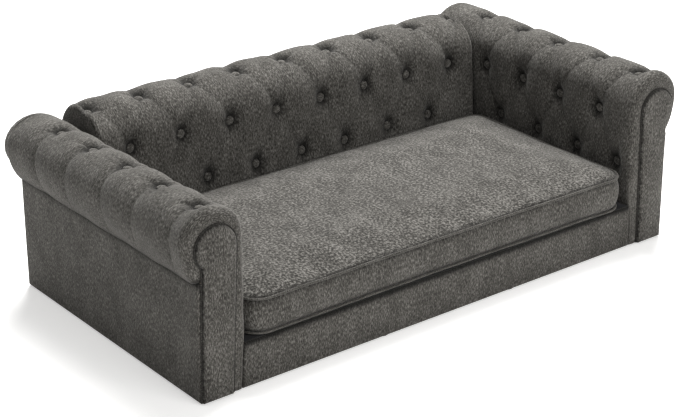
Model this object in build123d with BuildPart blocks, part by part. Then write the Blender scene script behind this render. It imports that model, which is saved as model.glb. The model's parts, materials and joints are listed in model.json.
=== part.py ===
from build123d import *
from math import acos, cos, degrees, pi, radians, sin, sqrt
import os

# Dog sofa bed: rolled arms and a rolled back with deep diamond tufting, a padded base and a loose cushion.
# Millimetres, +Z up, the front faces -Y, the floor is Z = 0 and the origin is the middle of the footprint.
os.makedirs("parts", exist_ok=True)

# Overall size
overall_depth = 660.0
arm_inside_span = 980.0
arm_outside_span = 1200.0
roll_top = 385.0
seam_height = 241.0

# Fits
seat_gap = 0.3
back_end_gap = 1.8
cut_overrun = 5.0

# Stock
cover_thickness = 1.5
hardboard = 3.0
board_plywood = 12.0
deck_plywood = 9.0
rail_plywood = 18.0

# Feet
foot_height = 7.0
foot_diameter = 26.0
foot_edge_bevel = 2.0
foot_stem_diameter = 7.0
foot_stem_length = 15.0
foot_stem_clearance = 0.2
foot_end_inset = 60.0

# Base
dust_cover_thickness = 1.0
rail_height = 70.0
base_side_gap = 8.5
base_front_setback = 8.0
base_front_padding = 7.0
base_top_round = 5.0
deck_pad_thickness = 6.0
cross_rail_spacing = 330.0

# Cushion
cushion_side_gap = 3.0
cushion_front_setback = 7.0
cushion_rear_gap = 5.0
cushion_edge_height = 68.0
cushion_under_crown = 5.0
cushion_crown = 16.0
cushion_front_corner = 42.0
cushion_rear_corner = 24.0
cushion_side_draw = 4.0
cushion_band_draw = 5.0
cushion_skin = 2.0
cushion_welt_diameter = 6.0
cushion_crown_run = 150.0
cushion_under_run = 30.0
crown_rise_shares = (0.0, 0.5, 0.86, 1.0)
crown_run_shares = (0.0, 0.14, 0.42, 0.78)
corner_growth_share = 0.4

# Zip in the rear band of the cushion
zip_length = 820.0
zip_tape_width = 22.0
zip_tape_thickness = 1.4
zip_coil_width = 4.0
zip_coil_height = 1.2
slider_length = 11.0
slider_width = 8.0
slider_wall = 1.0
slider_clearance = 0.3
slider_end_inset = 20.0
bail_width = 1.4
pull_length = 17.0
pull_width = 6.0
pull_thickness = 1.0
pull_eye_length = 5.5
bar_round_share = 0.49

# Arms
arm_lean = 15.0
arm_low_lean = 3.0
arm_roll_radius = 67.0
arm_padding = 27.0
arm_stem_width = 74.0
arm_head_radius = 42.0
arm_head_drop = 17.0
arm_cover_bulge = 2.0
arm_bottom_rail_height = 45.0
arm_button_columns = 5
arm_button_pitch = 118.0
arm_first_button = 48.0
arm_nose_round = 10.0
arm_end_round = 25.0
arm_end_length = 30.0
rear_overhang = 32.0
rear_cover_thickness = 2.0

# Front facings of the arms
facing_thickness = 10.0
facing_edge_round = 3.5
facing_overlap = 3.0
facing_lean = 13.0
facing_flare = 9.0
facing_neck_round = 6.0
facing_foot_gap = 1.0
facing_foot_round = 9.0
facing_welt_diameter = 5.0

# Back
back_seat_line = 156.0
back_low_lean = 3.0
back_lean = 11.0
back_roll_radius = 81.5
back_padding = 25.0
back_head_radius = 56.0
back_head_drop = 12.0
back_cover_thickness = 8.0
back_cover_bulge = 2.0
back_bottom_rail_height = 40.0
back_button_columns = 9
back_button_pitch = 120.0
back_end_draw = 9.0

# Tufting shared by the arms and the back
low_row_height = 185.0
mid_row_height = 281.0
crown_row_lead = 11.0
button_depth = 12.0
pleat_depth = 6.0
roll_pleat_depth = 5.0
seat_rise = 0.3
seam_tuck = 2.0
button_diameter = 19.0
button_back_rise = 5.0
button_dome = 3.5
button_rise = 1.5
crown_button_rise = 0.85
button_loop_radius = 2.0
tuck_shares = (0.0, 0.5, 1.0)
pillow_shares = (0.0, 0.1, 0.26, 0.5, 0.74, 0.9, 1.0)
roll_shares = (0.0, 0.06, 0.16, 0.34, 0.52, 0.66, 0.8, 0.9, 1.0)
nose_end_share = 0.2
plain_fade_share = 0.12

# Fasteners
bolt_diameter = 8.0
bolt_head_diameter = 14.0
bolt_head_height = 5.0
bolt_clearance = 0.3
arm_bolt_reach = 30.0
back_bolt_reach = 22.0
nut_diameter = 16.0
nut_length = 10.0
arm_bolt_spacing = 190.0
back_bolt_spacing = 230.0

# Levels and planes that the pieces share
front_face = -overall_depth / 2
rear_face = overall_depth / 2
half_inside = arm_inside_span / 2
half_outside = arm_outside_span / 2
rail_bottom = foot_height + dust_cover_thickness
rail_top = rail_bottom + rail_height
deck_top = rail_top + deck_plywood
seat_level = deck_top + deck_pad_thickness + cover_thickness
arm_front = front_face + facing_thickness
cover_rear = rear_face - rear_overhang
arm_rear = cover_rear - rear_cover_thickness
base_half = half_inside + base_side_gap
base_front = front_face + base_front_setback
rail_front = base_front + base_front_padding
arm_core_in = half_inside + arm_padding
arm_core_out = arm_core_in + arm_stem_width
arm_roll_centre = (half_inside + arm_roll_radius, roll_top - arm_roll_radius)
arm_head_centre = (arm_core_in + arm_head_radius, roll_top - arm_roll_radius - arm_head_drop)
back_roll_front = back_seat_line + back_lean
back_roll_centre = (back_roll_front + back_roll_radius, roll_top - back_roll_radius)
back_core_in = back_roll_front + back_padding
back_core_out = cover_rear - back_cover_thickness
back_head_centre = (back_core_in + back_head_radius, back_roll_centre[1] - back_head_drop)
back_half = half_inside - back_end_gap


def front_plane(y):
    # A plane across the sofa that faces the front: its directions are +X and +Z.
    return Plane(origin=(0, y, 0), x_dir=(1, 0, 0), z_dir=(0, -1, 0))


def side_plane(x):
    # A plane along the depth that faces +X: its directions are +Y and +Z.
    return Plane(origin=(x, 0, 0), x_dir=(0, 1, 0), z_dir=(1, 0, 0))


def export(piece, name):
    piece.part.label = name
    export_step(piece.part, f"parts/{name}.step")


def export_pair(piece, name):
    # The right-hand piece and its mirror image on the left.
    export(piece, f"right_{name}")
    with BuildPart() as other:
        mirror(piece.part, about=Plane.YZ)
    export(other, f"left_{name}")


def on_circle(centre, radius, angle):
    return (centre[0] + radius * cos(radians(angle)), centre[1] + radius * sin(radians(angle)))


def neck_angle(core_out, centre, radius):
    # Where a round head meets the outer side of its stem, counted from the horizontal.
    return -degrees(acos((core_out - centre[0]) / radius))


# Crest line of a tufted pad, seen at its end: up the inner face, over the roll and down to the seam
def crest_line(foot, low, centre, radius, seam):
    with BuildLine() as line:
        Polyline(foot, low, (centre[0] - radius, centre[1]))
        CenterArc(centre, radius, 180, -90)
        CenterArc(centre, radius, 90, -90)
        TangentArc((centre[0] + radius, centre[1]), seam, tangent=(0, -1))
    return line.wire()


def row_lengths(line, foot, low, centre, radius):
    # Lengths along the crest line to the seat, the low, middle and crown rows of buttons, and the seam.
    lower = sqrt((low[0] - foot[0]) ** 2 + (low[1] - foot[1]) ** 2)
    upper = sqrt((centre[0] - radius - low[0]) ** 2 + (centre[1] - low[1]) ** 2)
    seat = lower * (seat_level - foot[1]) / (low[1] - foot[1])
    middle = lower + upper * (mid_row_height - low[1]) / (centre[1] - low[1])
    crown = lower + upper + radius * pi / 2 + crown_row_lead
    return seat, lower, middle, crown, line.length


def surface_point(line, length, depth):
    # A point that lies deeper than the crest line, square to it.
    spot = line.position_at(length, PositionMode.LENGTH)
    heading = line.tangent_at(min(length, line.length - seat_gap), PositionMode.LENGTH)
    return (spot.X + heading.Y * depth, spot.Y - heading.X * depth)


def arcs_through(points):
    for start, middle, end in zip(points[0:-2:2], points[1:-1:2], points[2::2]):
        ThreePointArc(start, middle, end)


def swell(share):
    # 0 at both ends of a pillow and 1 along its middle.
    return sin(pi * share) ** 0.7 if 0 < share < 1 else 0.0


# One section of a tufted pad. phase is 0 at a column of crown buttons and 1 halfway to the next column.
# fade flattens the tufting, and inset draws the whole outer side in, as at a rounded end.
def pad_section(plane, pad, phase, fade=1.0, inset=0.0):
    line = pad["line"]
    seat, low, middle, crown, seam = pad["rows"]
    core_in, core_out, centre, radius = pad["core"]
    half_seat = button_diameter / 2
    lower_crease = low + (middle - half_seat - low) * phase
    upper_crease = crown - (crown - middle - half_seat) * phase
    crease = fade * (pleat_depth + (button_depth - pleat_depth) * (2 * phase - 1) ** 2)
    pillow = fade * (button_depth - seat_rise) * phase**3
    below = fade * pleat_depth / 2 * (1 - phase) ** 3
    over = fade * roll_pleat_depth * (1 - phase) ** 3

    low_points = [
        surface_point(line, seat + (lower_crease - seat) * share, inset + depth)
        for share, depth in zip(tuck_shares, (0.0, below, crease))
    ]
    pillow_points = [
        surface_point(
            line,
            lower_crease + (upper_crease - lower_crease) * share,
            inset + crease + (pillow - crease) * swell(share),
        )
        for share in pillow_shares
    ]
    roll_points = []
    for share in roll_shares:
        rising = over + (crease - over) * (1 - swell(min(share, 0.5)))
        tucked = seam_tuck * fade * max(0.0, 2 * share - 1) ** 2
        drawn = inset * min(1.0, (1 - share) / nose_end_share)
        roll_points.append(
            surface_point(line, upper_crease + (seam - upper_crease) * share, rising + tucked + drawn)
        )

    neck = neck_angle(core_out, centre, radius)
    half_turn = (180 - neck) / 2
    bottom = (surface_point(line, 0.0, inset)[0], line.position_at(0).Y)
    with BuildSketch(plane) as section:
        with BuildLine():
            Line(bottom, low_points[0])
            arcs_through(low_points)
            arcs_through(pillow_points)
            arcs_through(roll_points)
            Line(roll_points[-1], (core_out, seam_height))
            Line((core_out, seam_height), on_circle(centre, radius, neck))
            CenterArc(centre, radius, neck, half_turn)
            CenterArc(centre, radius, neck + half_turn, half_turn)
            Line((core_in, centre[1]), (core_in, bottom[1]))
            Line((core_in, bottom[1]), bottom)
        make_face()
    return section.sketch


def keyhole(plane, core, bottom, shrink=0.0):
    # The outline of a core: an upright stem under a round head.
    core_in, core_out, centre, radius = core
    with BuildSketch(plane) as outline:
        with Locations(((core_in + core_out) / 2, (bottom + centre[1]) / 2)):
            Rectangle(core_out - core_in - 2 * shrink, centre[1] - bottom)
        with Locations(centre):
            Circle(radius - shrink)
    return outline.sketch


def bent_board(plane, core):
    # The bent hardboard that carries the padding round the head.
    core_in, core_out, centre, radius = core
    neck = neck_angle(core_out, centre, radius)
    inner_radius = radius - hardboard
    with BuildSketch(plane) as band:
        with BuildLine():
            CenterArc(centre, radius, neck, 180 - neck)
            CenterArc(centre, inner_radius, neck, 180 - neck)
            Line(on_circle(centre, radius, neck), on_circle(centre, inner_radius, neck))
            Line(on_circle(centre, radius, 180), on_circle(centre, inner_radius, 180))
        make_face()
    return band.sketch


def upright_panel(plane, near, far, bottom, top):
    with BuildSketch(plane) as panel:
        with Locations(((near + far) / 2, (bottom + top) / 2)):
            Rectangle(far - near, top - bottom)
    return panel.sketch


def bulged_panel(plane, near, far, bulge, bottom, top):
    # A padded cover whose outer side stands out by bulge at its middle.
    with BuildSketch(plane) as panel:
        with BuildLine():
            Polyline((far - bulge, bottom), (near, bottom), (near, top), (far - bulge, top))
            ThreePointArc((far - bulge, top), (far, (bottom + top) / 2), (far - bulge, bottom))
        make_face()
    return panel.sketch


def slab(x_range, y_range, z_range):
    # A board that lies flat, from its lowest to its highest corner.
    with BuildSketch(Plane.XY.offset(z_range[0])) as face:
        with Locations(((x_range[0] + x_range[1]) / 2, (y_range[0] + y_range[1]) / 2)):
            Rectangle(x_range[1] - x_range[0], y_range[1] - y_range[0])
    return face.sketch, z_range[1] - z_range[0]


# The two tufted pads: the crest line, the rows of buttons on it, and the core that the pad lies round
arm_foot = (half_inside + arm_lean, foot_height)
arm_low = (half_inside + arm_low_lean, low_row_height)
arm_line = crest_line(
    arm_foot, arm_low, arm_roll_centre, arm_roll_radius, (half_outside - arm_cover_bulge, seam_height)
)
arm_pad_data = {
    "line": arm_line,
    "rows": row_lengths(arm_line, arm_foot, arm_low, arm_roll_centre, arm_roll_radius),
    "core": (arm_core_in, arm_core_out, arm_head_centre, arm_head_radius),
}
back_foot = (back_seat_line, deck_top)
back_low = (back_seat_line + back_low_lean, low_row_height)
back_line = crest_line(
    back_foot, back_low, back_roll_centre, back_roll_radius, (cover_rear - back_cover_bulge, seam_height)
)
back_pad_data = {
    "line": back_line,
    "rows": row_lengths(back_line, back_foot, back_low, back_roll_centre, back_roll_radius),
    "core": (back_core_in, back_core_out, back_head_centre, back_head_radius),
}
phases = (0.0, 0.5, 1.0, 0.5)

# Bolts, nuts and feet are placed here because several pieces have holes for them
arm_bolt_level = foot_height + arm_bottom_rail_height / 2
arm_bolt_head_side = base_half - rail_plywood
arm_bolt_end = arm_core_in + arm_bolt_reach
back_bolt_line = (back_core_in + back_core_out) / 2
back_bolt_end = deck_top + back_bolt_reach
arm_foot_line = (arm_core_in + arm_core_out) / 2
foot_spots = [
    (side * across, along)
    for side in (1, -1)
    for across, along in (
        (arm_foot_line, arm_front + foot_end_inset),
        (arm_foot_line, arm_rear - foot_end_inset),
        (cross_rail_spacing / 2, rail_front + rail_plywood / 2),
        (cross_rail_spacing / 2, back_core_out - rail_plywood / 2),
    )
]


def arm_bolt_rods(start, end, radius):
    # Three rods along +X through the right arm's side of the base.
    with BuildPart() as rods:
        with BuildSketch(side_plane(start)):
            with Locations((0, arm_bolt_level)):
                with GridLocations(arm_bolt_spacing, 0, 3, 1):
                    Circle(radius)
        extrude(amount=end - start)
    return rods.part


def back_bolt_rods(start, end, radius):
    # Four upright rods between the base and the back.
    with BuildPart() as rods:
        with BuildSketch(Plane.XY.offset(start)):
            with Locations((0, back_bolt_line)):
                with GridLocations(back_bolt_spacing, 0, 4, 1):
                    Circle(radius)
        extrude(amount=end - start)
    return rods.part


def foot_rods(radius, height):
    with BuildPart() as rods:
        with BuildSketch(Plane.XY.offset(foot_height)):
            with Locations(*foot_spots):
                Circle(radius)
        extrude(amount=height)
    return rods.part


bolt_radius = bolt_diameter / 2
hole_radius = bolt_radius + bolt_clearance
arm_bolt_holes = arm_bolt_rods(arm_bolt_head_side, arm_bolt_end + bolt_clearance, hole_radius)
arm_nut_holes = arm_bolt_rods(arm_bolt_end - nut_length, arm_bolt_end, nut_diameter / 2)
back_bolt_holes = back_bolt_rods(rail_top, back_bolt_end + bolt_clearance, hole_radius)
back_nut_holes = back_bolt_rods(back_bolt_end - nut_length, back_bolt_end, nut_diameter / 2)
foot_holes = foot_rods(foot_stem_diameter / 2 + foot_stem_clearance, foot_stem_length + foot_stem_clearance)

# Arm: profile boards, rail, panels and the bent board of the roll
arm_core = arm_pad_data["core"]
arm_neck_height = on_circle(
    arm_head_centre, arm_head_radius, neck_angle(arm_core_out, arm_head_centre, arm_head_radius)
)[1]
with BuildPart() as arm_front_board:
    extrude(keyhole(front_plane(arm_front + board_plywood), arm_core, foot_height, hardboard), board_plywood)
export_pair(arm_front_board, "arm_front_board")

with BuildPart() as arm_rear_board:
    extrude(keyhole(front_plane(arm_rear), arm_core, foot_height, hardboard), board_plywood)
export_pair(arm_rear_board, "arm_rear_board")

with BuildPart() as arm_bottom_rail:
    extrude(
        upright_panel(
            front_plane(arm_rear - board_plywood),
            arm_core_in + hardboard,
            arm_core_out - hardboard,
            foot_height,
            foot_height + arm_bottom_rail_height,
        ),
        arm_rear - arm_front - 2 * board_plywood,
    )
    add(arm_bolt_holes, mode=Mode.SUBTRACT)
    add(arm_nut_holes, mode=Mode.SUBTRACT)
    add(foot_holes, mode=Mode.SUBTRACT)
export_pair(arm_bottom_rail, "arm_bottom_rail")

with BuildPart() as arm_inner_panel:
    extrude(
        upright_panel(
            front_plane(arm_rear), arm_core_in, arm_core_in + hardboard, foot_height, arm_head_centre[1]
        ),
        arm_rear - arm_front,
    )
    add(arm_bolt_holes, mode=Mode.SUBTRACT)
export_pair(arm_inner_panel, "arm_inner_panel")

with BuildPart() as arm_outer_panel:
    extrude(
        upright_panel(
            front_plane(arm_rear), arm_core_out - hardboard, arm_core_out, foot_height, arm_neck_height
        ),
        arm_rear - arm_front,
    )
export_pair(arm_outer_panel, "arm_outer_panel")

with BuildPart() as arm_roll_board:
    extrude(bent_board(front_plane(arm_rear), arm_core), arm_rear - arm_front)
export_pair(arm_roll_board, "arm_roll_board")

# Arm pad: tufted from the first crown button to the last, plain behind the back and at the front edge
arm_quarter = arm_button_pitch / 4
arm_steps = 4 * (arm_button_columns - 1)
arm_sections = [pad_section(front_plane(arm_front + arm_nose_round), arm_pad_data, 0.5, plain_fade_share)]
for step in range(arm_steps + 4):
    along = front_face + arm_first_button + arm_quarter * step
    fade = 1.0 if step <= arm_steps else plain_fade_share
    arm_sections.append(pad_section(front_plane(along), arm_pad_data, phases[step % 4], fade))
arm_sections.append(pad_section(front_plane(cover_rear), arm_pad_data, 0.5, plain_fade_share))
nose_sections = [
    pad_section(
        front_plane(arm_front + arm_nose_round * (1 - sin(radians(turn)))),
        arm_pad_data,
        0.5,
        plain_fade_share,
        arm_nose_round * (1 - cos(radians(turn))),
    )
    for turn in (0, 30, 60, 90)
]
with BuildPart() as arm_pad:
    loft(arm_sections, ruled=True)
    loft(nose_sections, ruled=True)
    add(arm_bolt_holes, mode=Mode.SUBTRACT)
export_pair(arm_pad, "arm_pad")

# Arm covers
with BuildPart() as arm_outer_cover:
    extrude(
        bulged_panel(
            front_plane(cover_rear), arm_core_out, half_outside, arm_cover_bulge, foot_height, seam_height
        ),
        cover_rear - arm_front,
    )
export_pair(arm_outer_cover, "arm_outer_cover")

with BuildPart() as arm_rear_cover:
    extrude(keyhole(front_plane(cover_rear), arm_core, foot_height), rear_cover_thickness)
export_pair(arm_rear_cover, "arm_rear_cover")

with BuildPart() as arm_roll_end:
    with BuildSketch(front_plane(cover_rear)):
        with Locations(arm_roll_centre):
            Circle(arm_roll_radius - seat_gap)
    extrude(amount=-arm_end_length)
    fillet(arm_roll_end.faces().sort_by(Axis.Y)[-1].edges(), arm_end_round)
export_pair(arm_roll_end, "arm_roll_end")


# Front facing of an arm: a padded keyhole that stands in front of the arm, and the welt round it
def facing_points(shrink):
    radius = arm_head_radius + facing_overlap - shrink
    outer = arm_core_out - facing_overlap - shrink
    neck = neck_angle(outer, arm_head_centre, radius)
    level = foot_height + facing_foot_gap
    inner_foot = (arm_core_in + facing_lean - facing_overlap + shrink, level)
    outer_foot = (outer + facing_flare, level)
    return radius, neck, inner_foot, outer_foot


def facing_edge(shrink):
    radius, neck, inner_foot, outer_foot = facing_points(shrink)
    inner_top = on_circle(arm_head_centre, radius, 180)
    middle = neck + (180 - neck) / 2
    Line(inner_foot, inner_top)
    ThreePointArc(
        inner_top,
        on_circle(arm_head_centre, radius, (180 + middle) / 2),
        on_circle(arm_head_centre, radius, middle),
    )
    ThreePointArc(
        on_circle(arm_head_centre, radius, middle),
        on_circle(arm_head_centre, radius, (neck + middle) / 2),
        on_circle(arm_head_centre, radius, neck),
    )
    Line(on_circle(arm_head_centre, radius, neck), outer_foot)


welt_radius = facing_welt_diameter / 2
with BuildPart() as arm_facing:
    with BuildSketch(front_plane(arm_front)) as facing_face:
        with BuildLine():
            facing_edge(welt_radius + seat_gap)
            Line(*facing_points(welt_radius + seat_gap)[2:])
        make_face()
        fillet(facing_face.vertices().sort_by(Axis.Z)[:2], facing_foot_round)
    extrude(amount=facing_thickness)
    fillet(arm_facing.faces().sort_by(Axis.Y)[0].edges(), facing_edge_round)
export_pair(arm_facing, "arm_facing")

with BuildPart() as arm_facing_welt:
    with BuildLine(front_plane(arm_front - welt_radius - seat_gap)) as welt_line:
        facing_edge(0.0)
        neck_corner = welt_line.vertices().group_by(Axis.X)[-2].sort_by(Axis.Z)[0]
        fillet(neck_corner, facing_neck_round)
    with BuildSketch(Plane(origin=welt_line.wire() @ 0, z_dir=welt_line.wire() % 0)):
        Circle(welt_radius)
    sweep()
export_pair(arm_facing_welt, "arm_facing_welt")

# Back: the same build as an arm, set across the sofa between the two arms
back_core = back_pad_data["core"]
back_neck_height = on_circle(
    back_head_centre, back_head_radius, neck_angle(back_core_out, back_head_centre, back_head_radius)
)[1]
with BuildPart() as back_end_board:
    extrude(keyhole(side_plane(back_half - board_plywood), back_core, deck_top, hardboard), board_plywood)
export_pair(back_end_board, "back_end_board")

with BuildPart() as back_centre_board:
    extrude(
        keyhole(
            side_plane(-board_plywood / 2), back_core, deck_top + back_bottom_rail_height, hardboard
        ),
        board_plywood,
    )
export(back_centre_board, "back_centre_board")

rail_half = back_half - board_plywood
with BuildPart() as back_bottom_rail:
    extrude(
        upright_panel(
            side_plane(-rail_half),
            back_core_in + hardboard,
            back_core_out - hardboard,
            deck_top,
            deck_top + back_bottom_rail_height,
        ),
        2 * rail_half,
    )
    add(back_bolt_holes, mode=Mode.SUBTRACT)
    add(back_nut_holes, mode=Mode.SUBTRACT)
export(back_bottom_rail, "back_bottom_rail")

with BuildPart() as back_inner_panel:
    extrude(
        upright_panel(
            side_plane(-back_half), back_core_in, back_core_in + hardboard, deck_top, back_head_centre[1]
        ),
        2 * back_half,
    )
export(back_inner_panel, "back_inner_panel")

with BuildPart() as back_outer_panel:
    extrude(
        upright_panel(
            side_plane(-back_half), back_core_out - hardboard, back_core_out, deck_top, back_neck_height
        ),
        2 * back_half,
    )
export(back_outer_panel, "back_outer_panel")

with BuildPart() as back_roll_board:
    extrude(bent_board(side_plane(-back_half), back_core), 2 * back_half)
export(back_roll_board, "back_roll_board")

back_quarter = back_button_pitch / 4
back_steps = 4 * (back_button_columns - 1)
back_sections = [pad_section(side_plane(-back_half), back_pad_data, 0.0, 1.0, back_end_draw)]
for step in range(back_steps + 1):
    across = back_quarter * (step - back_steps / 2)
    back_sections.append(pad_section(side_plane(across), back_pad_data, phases[step % 4]))
back_sections.append(pad_section(side_plane(back_half), back_pad_data, 0.0, 1.0, back_end_draw))
with BuildPart() as back_pad:
    loft(back_sections, ruled=True)
export(back_pad, "back_pad")

with BuildPart() as back_outer_cover:
    extrude(
        bulged_panel(
            side_plane(-back_half), back_core_out, cover_rear, back_cover_bulge, foot_height, seam_height
        ),
        2 * back_half,
    )
export(back_outer_cover, "back_outer_cover")

# Covered buttons: a domed front over a back that narrows towards its loop
with BuildPart() as button:
    with BuildSketch(Plane.XZ):
        with BuildLine():
            rim = (button_diameter / 2, button_back_rise)
            top = (0, button_back_rise + button_dome)
            Polyline(top, (0, 0), (button_loop_radius, 0), rim)
            TangentArc(top, rim, tangent=(1, 0))
        make_face()
    revolve(axis=Axis.Z)


def button_spot(line, length, rise, place, outwards):
    # The seat of one button: place and outwards turn the section's directions into the sofa's.
    heading = line.tangent_at(length, PositionMode.LENGTH)
    spot = surface_point(line, length, button_depth - rise)
    return Plane(origin=place(spot[0], spot[1]), z_dir=outwards(-heading.Y, heading.X))


arm_spots = []
for row_length, columns, shift, rise in (
    (arm_pad_data["rows"][3], arm_button_columns, 0.0, crown_button_rise),
    (arm_pad_data["rows"][2], arm_button_columns - 1, 0.5, button_rise),
    (arm_pad_data["rows"][1], arm_button_columns - 1, 0.0, button_rise),
):
    for column in range(columns):
        along = front_face + arm_first_button + arm_button_pitch * (column + shift)
        arm_spots.append(
            button_spot(
                arm_line,
                row_length,
                rise,
                lambda across, level, along=along: (across, along, level),
                lambda across, level: (across, 0, level),
            )
        )
with BuildPart() as arm_buttons:
    with Locations(*arm_spots):
        add(button.part)
export_pair(arm_buttons, "arm_buttons")

back_spots = []
for row_length, columns, rise in (
    (back_pad_data["rows"][3], back_button_columns, crown_button_rise),
    (back_pad_data["rows"][2], back_button_columns - 1, button_rise),
    (back_pad_data["rows"][1], back_button_columns - 2, button_rise),
):
    for column in range(columns):
        across = back_button_pitch * (column - (columns - 1) / 2)
        back_spots.append(
            button_spot(
                back_line,
                row_length,
                rise,
                lambda along, level, across=across: (across, along, level),
                lambda along, level: (0, along, level),
            )
        )
with BuildPart() as back_buttons:
    with Locations(*back_spots):
        add(button.part)
export(back_buttons, "back_buttons")

# Base frame
with BuildPart() as base_front_rail:
    extrude(*slab((-base_half, base_half), (rail_front, rail_front + rail_plywood), (rail_bottom, rail_top)))
    add(foot_holes, mode=Mode.SUBTRACT)
export(base_front_rail, "base_front_rail")

with BuildPart() as base_rear_rail:
    extrude(
        *slab((-base_half, base_half), (back_core_out - rail_plywood, back_core_out), (rail_bottom, rail_top))
    )
    add(foot_holes, mode=Mode.SUBTRACT)
export(base_rear_rail, "base_rear_rail")

side_rail_reach = (rail_front + rail_plywood, back_core_out - rail_plywood)
with BuildPart() as base_side_rail:
    extrude(*slab((arm_bolt_head_side, base_half), side_rail_reach, (rail_bottom, rail_top)))
    add(arm_bolt_holes, mode=Mode.SUBTRACT)
export_pair(base_side_rail, "base_side_rail")

cross_rail_reach = ((cross_rail_spacing - rail_plywood) / 2, (cross_rail_spacing + rail_plywood) / 2)
with BuildPart() as base_cross_rail:
    extrude(*slab(cross_rail_reach, side_rail_reach, (rail_bottom, rail_top)))
export_pair(base_cross_rail, "base_cross_rail")

with BuildPart() as deck:
    extrude(*slab((-base_half, base_half), (rail_front, back_core_out), (rail_top, deck_top)))
    add(back_bolt_holes, mode=Mode.SUBTRACT)
export(deck, "deck")

deck_pad_top = deck_top + deck_pad_thickness
seat_reach = (rail_front, back_seat_line - seat_gap)
with BuildPart() as deck_pad:
    extrude(*slab((-base_half, base_half), seat_reach, (deck_top, deck_pad_top)))
export(deck_pad, "deck_pad")

with BuildPart() as deck_cover:
    extrude(*slab((-base_half, base_half), seat_reach, (deck_pad_top, seat_level)))
export(deck_cover, "deck_cover")

with BuildPart() as base_front_cover:
    extrude(*slab((-base_half, base_half), (base_front, rail_front), (foot_height, seat_level)))
    fillet(
        base_front_cover.faces().sort_by(Axis.Y)[0].edges().sort_by(Axis.Z)[-1], base_top_round
    )
export(base_front_cover, "base_front_cover")

with BuildPart() as dust_cover:
    extrude(*slab((-base_half, base_half), (rail_front, back_core_out), (foot_height, rail_bottom)))
    add(foot_holes, mode=Mode.SUBTRACT)
export(dust_cover, "dust_cover")

with BuildPart() as glide_feet:
    with BuildSketch():
        with Locations(*foot_spots):
            Circle(foot_diameter / 2)
    extrude(amount=foot_height)
    chamfer(glide_feet.faces().group_by(Axis.Z)[0].edges(), foot_edge_bevel)
    add(foot_rods(foot_stem_diameter / 2, foot_stem_length))
export(glide_feet, "glide_feet")

# Bolts and nuts
with BuildPart() as arm_bolts:
    add(arm_bolt_rods(arm_bolt_head_side - bolt_head_height, arm_bolt_head_side, bolt_head_diameter / 2))
    add(arm_bolt_rods(arm_bolt_head_side, arm_bolt_end, bolt_radius))
    mirror(about=Plane.YZ)
export(arm_bolts, "arm_bolts")

with BuildPart() as back_bolts:
    add(back_bolt_rods(rail_top - bolt_head_height, rail_top, bolt_head_diameter / 2))
    add(back_bolt_rods(rail_top, back_bolt_end, bolt_radius))
export(back_bolts, "back_bolts")

with BuildPart() as bolt_nuts:
    add(arm_nut_holes)
    add(arm_bolt_rods(arm_bolt_end - nut_length, arm_bolt_end, bolt_radius), mode=Mode.SUBTRACT)
    mirror(about=Plane.YZ)
    add(back_nut_holes)
    add(back_bolt_rods(back_bolt_end - nut_length, back_bolt_end, bolt_radius), mode=Mode.SUBTRACT)
export(bolt_nuts, "bolt_nuts")

# Cushion
welt_half = cushion_welt_diameter / 2
cushion_half = half_inside - cushion_side_gap
cushion_front = front_face + cushion_front_setback
cushion_rear = back_seat_line - cushion_rear_gap
lower_seam = seat_level + seat_gap + cushion_under_crown
upper_seam = lower_seam + cushion_edge_height
band_inset = cushion_welt_diameter + seat_gap


def cushion_edge(inset, opening=0.0):
    # The outline in plan: rounded corners, sides that draw in between them, and a straight rear.
    # It starts and ends at the middle of the rear, where a welt's two ends leave an opening.
    half = cushion_half - inset
    front = cushion_front + inset
    rear = cushion_rear - inset
    front_corner = cushion_front_corner + inset * corner_growth_share
    rear_corner = cushion_rear_corner + inset * corner_growth_share
    middle = (front + front_corner + rear - rear_corner) / 2
    Line((-opening / 2, rear), (-half + rear_corner, rear))
    CenterArc((-half + rear_corner, rear - rear_corner), rear_corner, 90, 90)
    ThreePointArc(
        (-half, rear - rear_corner), (-half + cushion_side_draw, middle), (-half, front + front_corner)
    )
    CenterArc((-half + front_corner, front + front_corner), front_corner, 180, 90)
    ThreePointArc(
        (-half + front_corner, front), (0, front + cushion_side_draw), (half - front_corner, front)
    )
    CenterArc((half - front_corner, front + front_corner), front_corner, 270, 90)
    ThreePointArc(
        (half, front + front_corner), (half - cushion_side_draw, middle), (half, rear - rear_corner)
    )
    CenterArc((half - rear_corner, rear - rear_corner), rear_corner, 0, 90)
    Line((half - rear_corner, rear), (opening / 2, rear))


def cushion_level(height, inset):
    with BuildSketch(Plane.XY.offset(height)) as level:
        with BuildLine():
            cushion_edge(inset)
        make_face()
    return level.sketch


def cushion_block(skin):
    # Crowned top, drawn-in band and flatter underside, all sunk by skin.
    edge = band_inset + skin
    top = [
        cushion_level(upper_seam + (cushion_crown - skin) * rise, edge + cushion_crown_run * run)
        for rise, run in zip(crown_rise_shares, crown_run_shares)
    ]
    band = [
        cushion_level(lower_seam, edge),
        cushion_level((lower_seam + upper_seam) / 2, edge + cushion_band_draw),
        cushion_level(upper_seam, edge),
    ]
    under = [
        cushion_level(lower_seam - cushion_under_crown + skin, edge + cushion_under_run),
        cushion_level(lower_seam, edge),
    ]
    with BuildPart() as block:
        loft(top)
        loft(band)
        loft(under, ruled=True)
    return block.part


with BuildPart() as cushion_foam:
    add(cushion_block(cushion_skin))
export(cushion_foam, "cushion_foam")

with BuildPart() as cushion_cover:
    add(cushion_block(0.0))
    add(cushion_foam.part, mode=Mode.SUBTRACT)

with BuildPart() as cushion_top_panel:
    add(cushion_cover.part)
    split(bisect_by=Plane.XY.offset(upper_seam), keep=Keep.TOP)
export(cushion_top_panel, "cushion_top_panel")

with BuildPart() as cushion_bottom_panel:
    add(cushion_cover.part)
    split(bisect_by=Plane.XY.offset(lower_seam), keep=Keep.BOTTOM)
export(cushion_bottom_panel, "cushion_bottom_panel")

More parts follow.
